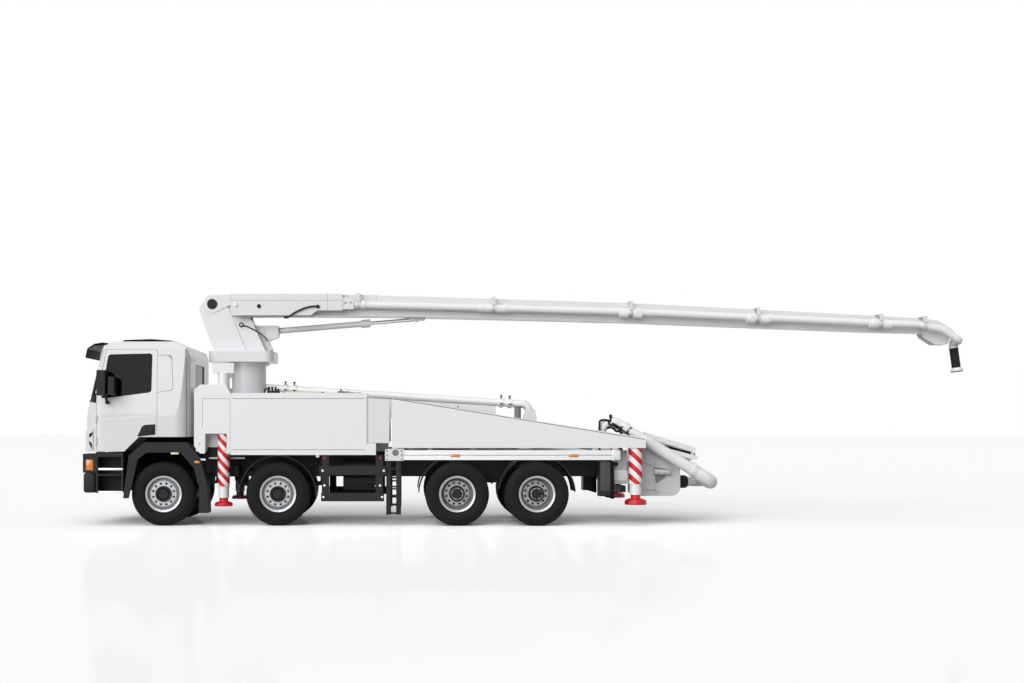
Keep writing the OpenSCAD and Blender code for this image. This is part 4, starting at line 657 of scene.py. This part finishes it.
# Door handles in their pockets
buildPairs({
    "handlePocket": {"finish": "trimBlack", "body": "door_{side}", "smooth": 30, "plates": [
        ([(-428, 1512), (-345, 1688), (-290, 1712), (-126, 1722), (-126, 1544)], 1224, 1251.5)]},
    "doorHandle": {"finish": "guardGrey", "body": "door_{side}", "smooth": 30, "boxes": [
        ((-250, 1251.5, 1570), (-160, 1261.5, 1690), 8), ((-330, 1251.5, 1560), (-270, 1256.5, 1660), 4)]},
})
print("door handles made")

# Front: lamps, steps, wipers and the mesh behind the grille
buildPairs({
    "cornerLamp": {"finish": "amber", "boxes": [((-1300, 1190, 942), (-1174, 1239, 1122), 10)]},
    "headlampLens": {"finish": "clearLens", "boxes": [((-1356, 792, 952), (-1351, 1188, 1196), 2)]},
    "wiper": {"finish": "trimBlack", "body": "cab", "rods": [((-1296, 560, 2020), (-1336, 560, 2028), 22)],
              "tubes": [([(-1330, 560, 2028), (-1310, 340, 2170), (-1280, 140, 2340)], 9, 8),
                        ([(-1310, 500, 2140), (-1284, 140, 2330), (-1246, -200, 2480)], 11, 6)]},
    "stepEdges": {"finish": "railAluminium", "boxes": [
        ((-1086, 1200, 945), (-672, 1243, 981), 4), ((-1086, 1200, 562), (-672, 1243, 592), 4)]},
    "bumperCorner": {"finish": "guardGrey", "boxes": [((-1346, 700, 562), (-1146, 1242, 902), 42)]},
})
reflector = {"x": -1346, "z": 1074, "rows": ((905, 88), (1105, 62)), "steps": 40,  # y and radius of each
             "bowl": ((0, -26), (0.45, -22), (0.8, -10), (1, 0)), "rim": 6, "rimDepth": -14}
for side, sign in sides.items():
    bm = bmesh.new()
    for y, radius in reflector["rows"]:
        rim = radius + reflector["rim"]
        profile = [(radius * share, depth) for share, depth in reflector["bowl"]]
        addLathe(bm, profile + [(rim, 0), (rim, reflector["rimDepth"])], (reflector["x"], sign * y, reflector["z"]),
                 (1, 0, 0), steps=reflector["steps"])
    finishPiece(bm, f"lampReflector{side.capitalize()}", "chassis", "hardChrome", 50, merge=True)
grille = {"x": (-1309, -1305), "z": (1330, 1740), "y": 878, "pitch": 45, "half": 3}
bars = [-grille["y"] + grille["pitch"] * k for k in range(2 * grille["y"] // grille["pitch"] + 1)]
(backX, faceX), (lowZ, highZ), half = grille["x"], grille["z"], grille["half"]
buildPiece("grilleMesh", {"finish": "trimBlack", "body": "cab", "boxes": [
    ((backX, y - half, lowZ), (faceX, y + half, highZ), 0) for y in bars]})
print("front made")

# Along the sides: markers, reflectors, hangers, seams, ladders, ends of the frame and rails, and a black sheet of
# painted shade under the cab
sideBoxes = {  # finish, ranges of x, y and z, bevel
    "archMarker": ("amber", (542, 627), (1247, 1256), (1062, 1100), 4),
    "archReflector": ("paleAmber", (139, 274), (1247, 1254), (1214, 1244), 4),
    "railMarker0": ("amber", (4869, 5029), (1238, 1249), (1165, 1214), 10),
    "railMarker1": ("amber", (6866, 7030), (1238, 1249), (1165, 1214), 10),
    "underBarHanger": ("guardGrey", (700, 1340), (900, 960), (1157, 1333), 2),
    "underBar": ("panelWhite", (740, 1357), (905, 972), (1127, 1157), 3),
    "archStripEnd": ("panelWhite", (606, 724), (1190, 1228), (1107, 1140), 3),
    "panelTab": ("panelWhite", (2591, 2645), (1180, 1240), (1160, 1205), 3),
    "frameEndPlate": ("hopperGrey", (7640, 7900), (900, 960), (700, 1280), 6),
    "frameEndPanel": ("panelWhite", (7672, 7896), (958, 968), (764, 932), 2),
    "panelSeam0": ("castGrey", (1180, 3420), (1249, 1250.8), (2152, 2161), 0),
    "panelSeam1": ("castGrey", (1180, 3420), (1249, 1250.8), (1286, 1295), 0),
    "panelSeam2": ("castGrey", (3464, 3472), (1249, 1250.8), (1408, 2246), 0),
    # a black sheet inboard of the front wheels: painted shade for the dark space under the cab
    "engineCover": ("seamBlack", (-560, 520), (431, 445), (900, 1496), 4),
    "railGroove": ("seamBlack", (4079, 7602), (1230, 1233.5), (1195, 1203), 0),
    "ladderCheek0": ("guardGrey", (3777, 3861), (1118, 1181), (189, 1103), 5),
    "ladderCheek1": ("guardGrey", (3946, 4030), (1118, 1181), (189, 1103), 5),
    "railEndBracket": ("railAluminium", (7604, 7640), (1190, 1236), (1104, 1296), 5),
    "railEndArm": ("railAluminium", (7600, 7745), (1150, 1192), (1118, 1282), 5),
    "boxPanel": ("panelGrey", (7404, 7572), (1189, 1197), (592, 1078), 4),
}
buildPairs({name: {"finish": finish, "boxes": [((x[0], y[0], z[0]), (x[1], y[1], z[1]), bevel)]}
            for name, (finish, x, y, z, bevel) in sideBoxes.items()})

# On the guards, covers, arms and hinge brackets, and round the tanks
guardNuts = ((2705, 935, 1235), (3740, 935, 1235), (2735, 684, 1225), (3676, 684, 1225), (2717, 490, 1235),
             (3710, 490, 1235))  # x, z and the face that each stands on
buildPairs({
    "guardReflectors": {"finish": "redLens", "discs": [(x, 1225, 1150, 20, 8, 20, 2) for x in (2733, 3676)]},
    "guardBolts": {"finish": "zinc", "discs": [(3539, 1250, 1287, 14, 4, 20)],
                   "boxes": [((x - 17, face, z - 17), (x + 17, face + 7, z + 17), 3) for x, z, face in guardNuts]},
    "coverDoorSeam": {"finish": "castGrey", "body": "front_outrigger_{side}", "bolts": [(626, 1250, 1392, 11)],
                      "boxes": [((670, 1249.4, 1668), (677, 1250.8, 2157), 0),
                                ((670, 1249.4, 2150), (1124, 1250.8, 2157), 0)]},
    "armEdge": {"finish": "seamBlack", "body": "rear_outrigger_{side}", "plates": [
        ([(3866, 2151), (3866, 2160), (8150, 1470), (8150, 1461)], 1249.4, 1250.8)]},
    "hingeBracketBolts": {"finish": "castGrey", "discs": [(3935, 1235, 1240, 55, 5, 32, 2)],
                          "bolts": [(x, 1235, z, 13) for x in (3790, 4040) for z in (1130, 1200, 1270)]},
    "tankBands": {"finish": "hubBlack", "rods": [
        ((x - 14, 700, z), (x + 14, 700, z), 132, 132, 48) for z in (724, 1000) for x in (3130, 3290, 3470)]},
    "boxEdge": {"finish": "seamBlack", "smooth": 30, "plates": [
        ([(7575, 1092), (7634, 1092), (7640, 474), (7626, 452), (7470, 500), (7470, 530), (7575, 512)], 900, 1194)]},
})
print("side trim made")

# Deck, on the left: valve block, lever, valve, and the guard and post at the end of the delivery line
deckPieces = {
    "valveBlock": {"finish": "trimBlack", "boxes": [((1712, -760, 2041), (1926, -640, 2300), 8)],
                   "rods": [((x, -700, 2300), (x, -700, 2352), 18, 18, 16) for x in (1742, 1800, 1858)]
                   + [((x, -700, 2352), (x, -700, 2368), 24, 24, 6) for x in (1742, 1800, 1858)]
                   + [((1906, -700, 2300), (1906, -700, 2336), 22, 22, 6)],
                   "tubes": [([(1742, -716, 2330), (1700, -730, 2340), (1664, -730, 2280), (1660, -730, 2150),
                               (1660, -730, 2041)], 13, 10)]},
    "deckLever": {"finish": "paleYellow", "boxes": [((2032, -724, 2258), (2543, -676, 2282), 5)]
                  + [((x - 10, -712, 2041), (x + 10, -688, 2260), 2) for x in (2080, 2290, 2500)]},
    "deckValve": {"finish": "castGrey",
                  "boxes": [((2600, -740, 2041), (2740, -660, 2262), 6), ((2930, -760, 2041), (3040, -640, 2296), 6),
                            ((3120, -712, 2041), (3144, -688, 2214), 2)],
                  "rods": [((2670, -700, 2262), (2670, -700, 2284), 24, 24, 16),
                           ((2985, -700, 2296), (2985, -700, 2334), 16, 16, 16),
                           ((3040, -700, 2250), (3150, -700, 2250), 42),
                           ((3150, -700, 2250), (3240, -700, 2250), 26)],
                  "tubes": [([(3240, -700, 2250), (3310, -700, 2262), (3380, -696, 2230), (3430, -690, 2150),
                              (3436, -690, 2041)], 14, 10)]},
    "riserGuard": {"finish": "lightGrey", "smooth": 30, "plates": [
        ([(6150, 1700), (6150, 1860), (6206, 1996), (6366, 1984), (6392, 1850), (6392, 1700)], -500, -486),
        ([(6150, 1700), (6392, 1700), (6392, 1740), (6150, 1740)], -490, -440)]},
    "riserPost": {"finish": "castGrey", "smooth": 30, "rods": [
        ((6064, -470, 1640), (6064, -470, 2036), 58, 58, 40), ((6064, -470, 2014), (6064, -470, 2040), 68, 68, 40)]},
}
for name, parts in deckPieces.items():
    buildPiece(name, parts)

# Coupling knobs and bolt heads along the delivery line over the deck
deckLine = {"endX": 6270, "endY": -380, "from": 308, "high": 2373, "low": 2069, "knobsAt": (660, 820, 4480, 4630),
            "knob": (((0, -40, 66), (0, -40, 118), 11, 11, 12), ((0, -40, 114), (0, -40, 134), 27, 20, 20),
                     ((-24, -88, -20), (24, -88, -20), 10, 10, 12)),
            "bolts": ((3120, 150), (3700, 190), (3720, 120)),  # distance, and drop under the line
            "boltOut": 35, "boltSizes": (12, 14, 16)}


def lineSpot(distance):  # a place on the line, by its distance from the slewing axis
    slew = jointPlace("slew")
    dx, dy = deckLine["endX"] - slew.x, deckLine["endY"]
    share = (distance - deckLine["from"]) / (math.hypot(dx, dy) - deckLine["from"])
    turn = math.atan2(dy, dx)
    height = deckLine["high"] + (deckLine["low"] - deckLine["high"]) * share
    return slew.x + distance * math.cos(turn), distance * math.sin(turn), height


bm = bmesh.new()
for distance in deckLine["knobsAt"]:
    spot = Vector(lineSpot(distance))
    for start, end, *sizes in deckLine["knob"]:
        addRod(bm, spot + Vector(start), spot + Vector(end), *sizes)
for distance, drop in deckLine["bolts"]:
    x, y, z = lineSpot(distance)
    addDisc(bm, x, y - deckLine["boltOut"], z - drop, -1, *deckLine["boltSizes"])
finishPiece(bm, "couplingKnobs", "chassis", "hubBlack")

# Console at the hopper, on the left: grab handle, slanted panel, emergency button, taps and hoses
consoleY, hoseY = -930, -950
taps = ((7770, 1600), (7900, 1585))
consolePieces = {
    "grabHandle": {"finish": "trimBlack",
                   "tubes": [([(x, consoleY, z) for x, z in (
                       (7429, 1240), (7429, 1500), (7429, 1735), (7444, 1782), (7490, 1795), (7560, 1789),
                       (7606, 1780))], 19, 16)],
                   "rods": [((7606, consoleY, 1780), (7622, -900, 1776), 24, 24, 16)],
                   "plates": [([(7400, 1180), (7800, 1180), (7800, 1262), (7400, 1262)], -944, -916)],
                   "boxes": [((7780, -914, 1240), (7830, -870, 1640), 3)]},
    "consolePanel": {"finish": "lightGrey", "smooth": 30, "plates": [
        ([(7586, 1790), (7636, 1846), (7952, 1672), (8062, 1566), (7966, 1552), (7700, 1640)], -920, -870)]},
    "consoleHoses": {"finish": "hoseRubber",
                     "rods": [((7620, -924, 1790), (7620, -924, 1842), 14, 14, 16),
                              ((7620, -924, 1838), (7620, -924, 1876), 29, 26, 24),
                              ((7620, -924, 1876), (7620, -924, 1892), 26, 14, 24)]
                     + [((x, hoseY, z), (x + 14, hoseY, z + 52), 14, 14, 16) for x, z in taps]
                     + [((x, hoseY, z), (x, -916, z), 17, 17, 16) for x, z in taps],
                     "tubes": [([(7580, -938, 1770), (7600, hoseY, 1716), (7680, hoseY, 1690), (7760, hoseY, 1640),
                                 (7790, -934, 1600)], 16, 12),
                               ([(7560, -936, 1650), (7600, -960, 1668), (7660, -960, 1650), (7700, -960, 1610),
                                 (7760, -940, 1596)], 20, 12),
                               ([(7640, -936, 1740), (7720, -954, 1700), (7820, -954, 1620), (7900, hoseY, 1560),
                                 (7930, -934, 1540)], 13, 12)]
                     + [([(x + 10, hoseY, z + 40), (x + 22, hoseY, z + 66), (x + 52, hoseY, z + 74),
                          (x + 74, hoseY, z + 72)], 12, 12) for x, z in taps]},
}
for name, parts in consolePieces.items():
    buildPiece(name, parts)
print("deck fittings made")

# Rear: rim boards of hopper and grate, a dark strip of painted shadow under the grate, stirrer drive, dark outlet
# collar
grate = {"hinge": jointPlace("grate_hinge"), "slope": math.radians(17)}


def grateSpot(along, above):  # a place in the closed grate's own slanted frame
    turn = grate["slope"]
    return (grate["hinge"].x + along * math.cos(turn) + above * math.sin(turn),
            grate["hinge"].z - along * math.sin(turn) + above * math.cos(turn))


buildPairs({
    "hopperRim": {"finish": "lightGrey", "smooth": 30, "plates": [
        ([(8140, 1437), (9150, 1171), (9150, 1112), (9080, 1106), (8140, 1368)], 736, 746),
        ([(9142, 1172), (9152, 1170), (9152, 1112), (9142, 1112)], 0, 744)]},
    # a near black strip inside the hopper: painted shadow under the grate's frame
    "hopperSeal": {"finish": "seamBlack", "smooth": 30, "plates": [
        ([(8200, 1420), (9120, 1176), (9120, 1222), (8200, 1466)], 676, 684)]},
    "grateFrame": {"finish": "lightGrey", "body": "hopper_grate", "smooth": 30, "plates": [
        ([grateSpot(*p) for p in ((40, -24), (40, 62), (985, 62), (1000, 40), (1000, -24))], 719, 733),
        ([grateSpot(*p) for p in ((992, -24), (992, 62), (1004, 58), (1004, -24))], 0, 731)]},
    "stirrerDrive": {"finish": "hopperGrey", "smooth": 30, "discs": [(8452, 699, 1040, 24, 14, 24, 3)],
                     "plates": [([(8240, 1074), (8362, 1036), (8376, 1036), (8446, 570), (8430, 562), (8354, 1016),
                                  (8240, 1060)], 699, 742)],
                     "boxes": [((8240, 699, 590), (8440, 730, 606), 3), ((8415, 699, 560), (8470, 730, 590), 6),
                               ((8392, 699, 852), (8600, 760, 964), 8)],
                     "rods": [((8392, 752, 908), (8650, 752, 908), 60, 60, 32),
                              ((8650, 752, 908), (8676, 752, 908), 66, 60, 32)]},
    "driveBracket": {"finish": "castGrey", "smooth": 30, "plates": [
        ([(8394, 846), (8604, 846), (8580, 800), (8440, 706), (8424, 706)], 699, 722),
        ([(8388, 984), (8660, 936), (8660, 924), (8388, 972)], 752, 816)]},
})
outlet = {"centre": (8860, 0, 700), "collar": ((81, 0), (134, 0), (134, 50), (116, 60), (116, 190), (110, 236),
                                               (98, 260), (82, 268), (80.5, 268))}
bm = bmesh.new()
addLathe(bm, outlet["collar"], outlet["centre"], (1, 0, 0))
finishPiece(bm, "outletCollar", "chassis", "trimBlack", merge=True)

# Wear shells and clamp on the slanted delivery pipe; distances run up the pipe from its low corner
pipe = {"low": (9370, -860, 730), "high": (7600, -860, 1835), "steps": 40, "radius": 100,
        "run": (1380, 1000, 600, 250), "end": (1392, 1376, 88), "across": (0, 1, -0.0349),
        "welds": ((556, 564), (1116, 1124)), "weldRadius": 102.5,
        "elbowRadius": 112, "bend": 170, "elbowStart": (330, 240), "elbowEnd": 260, "push": (20, -6, -8),
        "collars": ((322, 338), (232, 248)), "collarRadius": 120,
        "clampAt": 372, "clampRings": ((346, 356), (388, 398)), "clampRadius": 118, "ears": (348, 396),
        "ear": ((-12, -20, 104), (12, 20, 152)), "pin": ((-50, 0, 130), (50, 0, 130)), "pinRadius": 9}
corner = Vector(pipe["low"])
back, across = (Vector(pipe["high"]) - corner).normalized(), Vector(pipe["across"]).normalized()
bendMiddle = corner + (back + across) * pipe["bend"]


def addBands(bm, bands, radius):  # raised bands round the pipe, each from one distance to another
    for start, end in bands:
        addRod(bm, corner + back * start, corner + back * end, radius, steps=pipe["steps"])


bm = bmesh.new()
addTube(bm, [corner + back * distance for distance in pipe["run"]], pipe["radius"], pipe["steps"], 1)
start, end, tipRadius = pipe["end"]
addRod(bm, corner + back * start, corner + back * end, tipRadius, pipe["radius"], pipe["steps"])
addBands(bm, pipe["welds"], pipe["weldRadius"])
finishPiece(bm, "pipeShell", "chassis", "panelWhite")
bm = bmesh.new()
arc = [bendMiddle - (across * math.cos(turn) + back * math.sin(turn)) * pipe["bend"]
       for turn in [math.radians(15 * k) for k in range(7)]]
bulged = [spot + Vector(pipe["push"]) * math.sin(math.pi * (k + 1) / 8) for k, spot in enumerate(arc)]
straight = [corner + back * distance for distance in pipe["elbowStart"]]
addTube(bm, straight + bulged + [corner + across * pipe["elbowEnd"]], pipe["elbowRadius"], pipe["steps"], 1)
addBands(bm, pipe["collars"], pipe["collarRadius"])
finishPiece(bm, "elbowShell", "chassis", "panelWhite", 50)
bm = bmesh.new()
addBands(bm, pipe["clampRings"], pipe["clampRadius"])
for distance in pipe["ears"]:
    spot = corner + back * distance
    addBox(bm, spot + Vector(pipe["ear"][0]), spot + Vector(pipe["ear"][1]), 3)
clamp = corner + back * pipe["clampAt"]
addRod(bm, clamp + Vector(pipe["pin"][0]), clamp + Vector(pipe["pin"][1]), pipe["pinRadius"], steps=12)
finishPiece(bm, "pipeClamp", "chassis", "lightGrey")
print("rear made")

# Boom root: pivot rings and caps, eye plates, boss, seams, hose, and the cable on the turret
pivot = jointPlace("luff")
eye = {"radius": 156, "tail": (1046, 3838), "steps": 56, "plate": (284, 294), "bolt": (867, 294, 3826, 12)}
tailX, tailZ = eye["tail"][0] - pivot.x, eye["tail"][1] - pivot.z
opening = math.acos(eye["radius"] / math.hypot(tailX, tailZ))
turns = [math.atan2(tailZ, tailX) + opening + (math.tau - 2 * opening) * k / eye["steps"]
         for k in range(eye["steps"] + 1)]
eyeOutline = [(pivot.x + eye["radius"] * math.cos(turn), pivot.z + eye["radius"] * math.sin(turn))
              for turn in turns]
buildPairs({
    "pivotRing": {"finish": "lightGrey", "body": "boom", "discs": [(pivot.x, 280, pivot.z, 128, 8, 64, 3)],
                  "bolts": [(x, 288, z, 8) for x, z in ringSpots(pivot.x, pivot.z, 108, 3, 0.25)]},
    "pivotCap": {"finish": "trimBlack", "body": "boom", "discs": [(pivot.x, 290, pivot.z, 90, 18, 64, 5)]},
    "rootEye": {"finish": "lightGrey", "body": "boom", "smooth": 30, "bolts": [eye["bolt"]],
                "plates": [(eyeOutline + [eye["tail"]], *eye["plate"])]},
})
coverSeams = (  # ranges of x and z
    (2733, 2737, 3722, 4008), (1030, 3000, 3892, 3896), (1028, 1032, 3892, 4004), (2560, 3000, 3698, 3712),
    (1066, 2500, 3603, 3622))
leftPieces = {  # on the left face alone, where y is the distance from the middle
    "rootHose": {"finish": "trimBlack", "body": "boom",
                 "discs": [(1535, 400, 3792, 35, 20, 32, 5), (2570, 400, 3783, 33, 24, 24, 6)],
                 "tubes": [([(2570, 414, 3783), (2500, 426, 3790), (2350, 430, 3760), (2190, 426, 3690),
                             (2080, 416, 3622), (2030, 408, 3600)], 15, 12)],
                 "rods": [((2060, 402, 3598), (1975, 402, 3592), 20, 20, 20)]},
    "coverSeams": {"finish": "castGrey", "body": "boom",
                   "boxes": [((x0, 402, z0), (x1, 396, z1), 0) for x0, x1, z0, z1 in coverSeams]},
    "rootBoss": {"finish": "panelWhite", "body": "boom", "discs": [(1127, 398, 3822, 43, 26, 36, 8)]},
}
for name, parts in leftPieces.items():
    buildPiece(name, parts, -1)
cable = {"ring": ((1209, -272, 3476), (0, 1, 0), 34, 9, 32),
         "parts": {"rods": [((1209, -262, 3440), (1209, -282, 3440), 14, 14, 16)],
                   "tubes": [([(1222, -276, 3452), (1290, -278, 3452), (1400, -278, 3404), (1535, -278, 3324),
                               (1640, -276, 3240), (1672, -270, 3180)], 11, 10)]}}
bm = bmesh.new()
addRing(bm, *cable["ring"])
addParts(bm, cable["parts"])
finishPiece(bm, "turretCable", "turret", "trimBlack")
print("boom root made")

# Bolts and sleeves at the pipe's straps along the boom
straps = {"x": (3275, 5655, 8065, 10300, 12455, 13230), "face": 394.3, "boltZ": (60, -50), "boltSize": 10}
sleeve = {"x": (5655, 8065, 10300, 12455), "reach": (48, 196, 202), "radius": 76, "tipRadius": 68, "steps": 40}
boomPipe = {"y": 310, "rootHeight": 3822, "rootEnd": 3590, "slopeFrom": (5440, 3764), "slope": 0.0405}


def boomPipeSpot(x):  # the middle of the pipe on the boom's left side
    startX, startZ = boomPipe["slopeFrom"]
    height = boomPipe["rootHeight"] if x < boomPipe["rootEnd"] else startZ - (x - startX) * boomPipe["slope"]
    return x, boomPipe["y"], height


strapBolts = [(x, straps["face"], boomPipeSpot(x)[2] + z, straps["boltSize"])
              for x in straps["x"] for z in straps["boltZ"]]
buildPiece("strapBolts", {"finish": "castGrey", "body": "boom", "bolts": strapBolts}, -1)
sleeves = []
for x in sleeve["x"]:
    for way in (-1, 1):
        start, end, tip = (boomPipeSpot(x + way * reach) for reach in sleeve["reach"])
        sleeves += [(start, end, sleeve["radius"], sleeve["radius"], sleeve["steps"]),
                    (end, tip, sleeve["radius"], sleeve["tipRadius"], sleeve["steps"])]
buildPiece("pipeSleeves", {"finish": "panelWhite", "body": "boom", "rods": sleeves}, -1)
print("strap bolts made")

# Short end hose: cast elbow, rubber hose with clips, end ring with its bore
swivel = jointPlace("hose_swivel")
endHose = {"lean": math.radians(8), "elbowRadius": 68, "elbowSteps": 32,
           "elbow": ((-87, 0), (-60, 0), (-40, -4), (-18, -16), (-4, -40), (0, -70), (0, -110)),  # y, z
           "collar": ((66, 60), (80, 64), (80, 112), (66, 116)),  # radius, distance down the hose
           "sleeve": ((60, 100), (74, 104), (78, 112), (78, 130), (76, 140), (76, 455), (78, 470), (60, 474)),
           "ring": ((60, 460), (84, 462), (92, 484), (105, 488), (105, 520), (100, 526), (60, 526)),
           "seal": ((60, 526), (100, 526), (96, 541), (60, 541))}
lean = endHose["lean"]
hoseAxis = (math.sin(lean), 0, -math.cos(lean))


def addHoseLathe(bm, part):
    addLathe(bm, endHose[part], (swivel.x, 0, swivel.z), hoseAxis, (0, 1, 0))


bm = bmesh.new()
turned = [(swivel.x - math.sin(lean) * z, y, swivel.z + math.cos(lean) * z) for y, z in endHose["elbow"]]
addTube(bm, turned, endHose["elbowRadius"], endHose["elbowSteps"], 4)
addHoseLathe(bm, "collar")
finishPiece(bm, "endElbow", "end_hose", "lightGrey", merge=True)
bm = bmesh.new()
addHoseLathe(bm, "sleeve")
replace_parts(finishPiece(bm, "endHoseSleeve", "end_hose", "hoseRubber", merge=True), "end_hose")
for part, finish in (("ring", "panelWhite"), ("seal", "hoseRubber")):
    bm = bmesh.new()
    addHoseLathe(bm, part)
    finishPiece(bm, f"end{part.capitalize()}", "end_hose", finish, 30, merge=True)
print("end hose made")

# Stage, light and camera
stage = {"floorSize": 400, "floorWhite": "F6F6F6", "floorGain": 1.42, "floorBounce": "868686", "floorGlow": 0.03,
         "gloss": 0.08, "glossRoughness": 0.06, "skyLight": 0.2,
         "suns": {"topLamp": ((-0.25, -0.55, 1), 1.15, 70),  # direction to the light, power, spread in degrees
                  "fillLamp": ((-0.6, -1, 0.35), 2.2, 50)}}


def seenRays(tree):  # 1 for what the picture shows directly, in a reflection or through glass, and else 0
    rays = addNode(tree, "ShaderNodeLightPath")
    direct = addNode(tree, "ShaderNodeMath", {"operation": "MAXIMUM"},
                     links={0: rays.outputs["Is Camera Ray"], 1: rays.outputs["Is Glossy Ray"]})
    return addNode(tree, "ShaderNodeMath", {"operation": "MAXIMUM"},
                   links={0: direct.outputs[0], 1: rays.outputs["Is Transmission Ray"]})


bm = bmesh.new()
bmesh.ops.create_grid(bm, x_segments=1, y_segments=1, size=stage["floorSize"] / 2)
floorMesh = bpy.data.meshes.new("floor")
bm.to_mesh(floorMesh)
bm.free()
floor = bpy.data.objects.new("floor", floorMesh)
bpy.context.scene.collection.objects.link(floor)
floorMaterial, tree = newMaterial("paleFloor", stage["floorWhite"], Roughness=0.9)[:2]
seen = seenRays(tree)
tint = addNode(tree, "ShaderNodeMix", {"data_type": "RGBA"}, links={"Factor": seen.outputs[0]})
tint.inputs[6].default_value = srgb(stage["floorBounce"])
tint.inputs[7].default_value = [value * stage["floorGain"] for value in srgb(stage["floorWhite"])[:3]] + [1.0]
diffuse = addNode(tree, "ShaderNodeBsdfDiffuse", links={"Color": tint.outputs[2]})
strength = addNode(tree, "ShaderNodeMath", {"operation": "MULTIPLY"}, {1: stage["floorGlow"]}, {0: seen.outputs[0]})
glow = addNode(tree, "ShaderNodeEmission", links={"Strength": strength.outputs[0]})
lit = addNode(tree, "ShaderNodeAddShader", links={0: diffuse.outputs[0], 1: glow.outputs[0]})
shine = addNode(tree, "ShaderNodeBsdfGlossy", inputs={"Roughness": stage["glossRoughness"]})
surface = addNode(tree, "ShaderNodeMixShader", inputs={0: stage["gloss"]},
                  links={1: lit.outputs[0], 2: shine.outputs[0]})
tree.links.new(surface.outputs[0], tree.nodes["Material Output"].inputs["Surface"])
floorMesh.materials.append(floorMaterial)

world = bpy.data.worlds.new("studio")
bpy.context.scene.world = world
world.use_nodes = True
tree = world.node_tree
tree.nodes.clear()
seen = seenRays(tree)
soft = addNode(tree, "ShaderNodeBackground", inputs={"Color": (1, 1, 1, 1), "Strength": stage["skyLight"]})
plain = addNode(tree, "ShaderNodeBackground", inputs={"Color": (1, 1, 1, 1), "Strength": 1.0})
mix = addNode(tree, "ShaderNodeMixShader", links={0: seen.outputs[0], 1: soft.outputs[0], 2: plain.outputs[0]})
addNode(tree, "ShaderNodeOutputWorld", links={"Surface": mix.outputs[0]})

for name, (direction, power, spread) in stage["suns"].items():
    data = bpy.data.lights.new(name, "SUN")
    data.energy = power
    data.angle = math.radians(spread)
    lamp = bpy.data.objects.new(name, data)
    bpy.context.scene.collection.objects.link(lamp)
    lamp.rotation_euler = Vector(direction).to_track_quat("Z", "Y").to_euler()
print("stage made")

camera = {"place": (4113, -23750, 1726), "focal": 1332, "width": 1024, "height": 683, "centre": (406, 424),
          "sensor": 36, "clipEnd": 300}  # the focal length and the centre are in pixels of the frame
cameraData = bpy.data.cameras.new("camera")
cameraData.sensor_width = camera["sensor"]
cameraData.lens = camera["focal"] / camera["width"] * camera["sensor"]
cameraData.shift_x = (camera["width"] / 2 - camera["centre"][0]) / camera["width"]
cameraData.shift_y = (camera["centre"][1] - camera["height"] / 2) / camera["width"]
cameraData.clip_end = camera["clipEnd"]
cameraObject = bpy.data.objects.new("camera", cameraData)
bpy.context.scene.collection.objects.link(cameraObject)
cameraObject.location = at(*camera["place"])
cameraObject.rotation_euler = (math.radians(90), 0, 0)
bpy.context.scene.camera = cameraObject
bpy.context.scene.view_settings.view_transform = "Standard"

print("scene done")
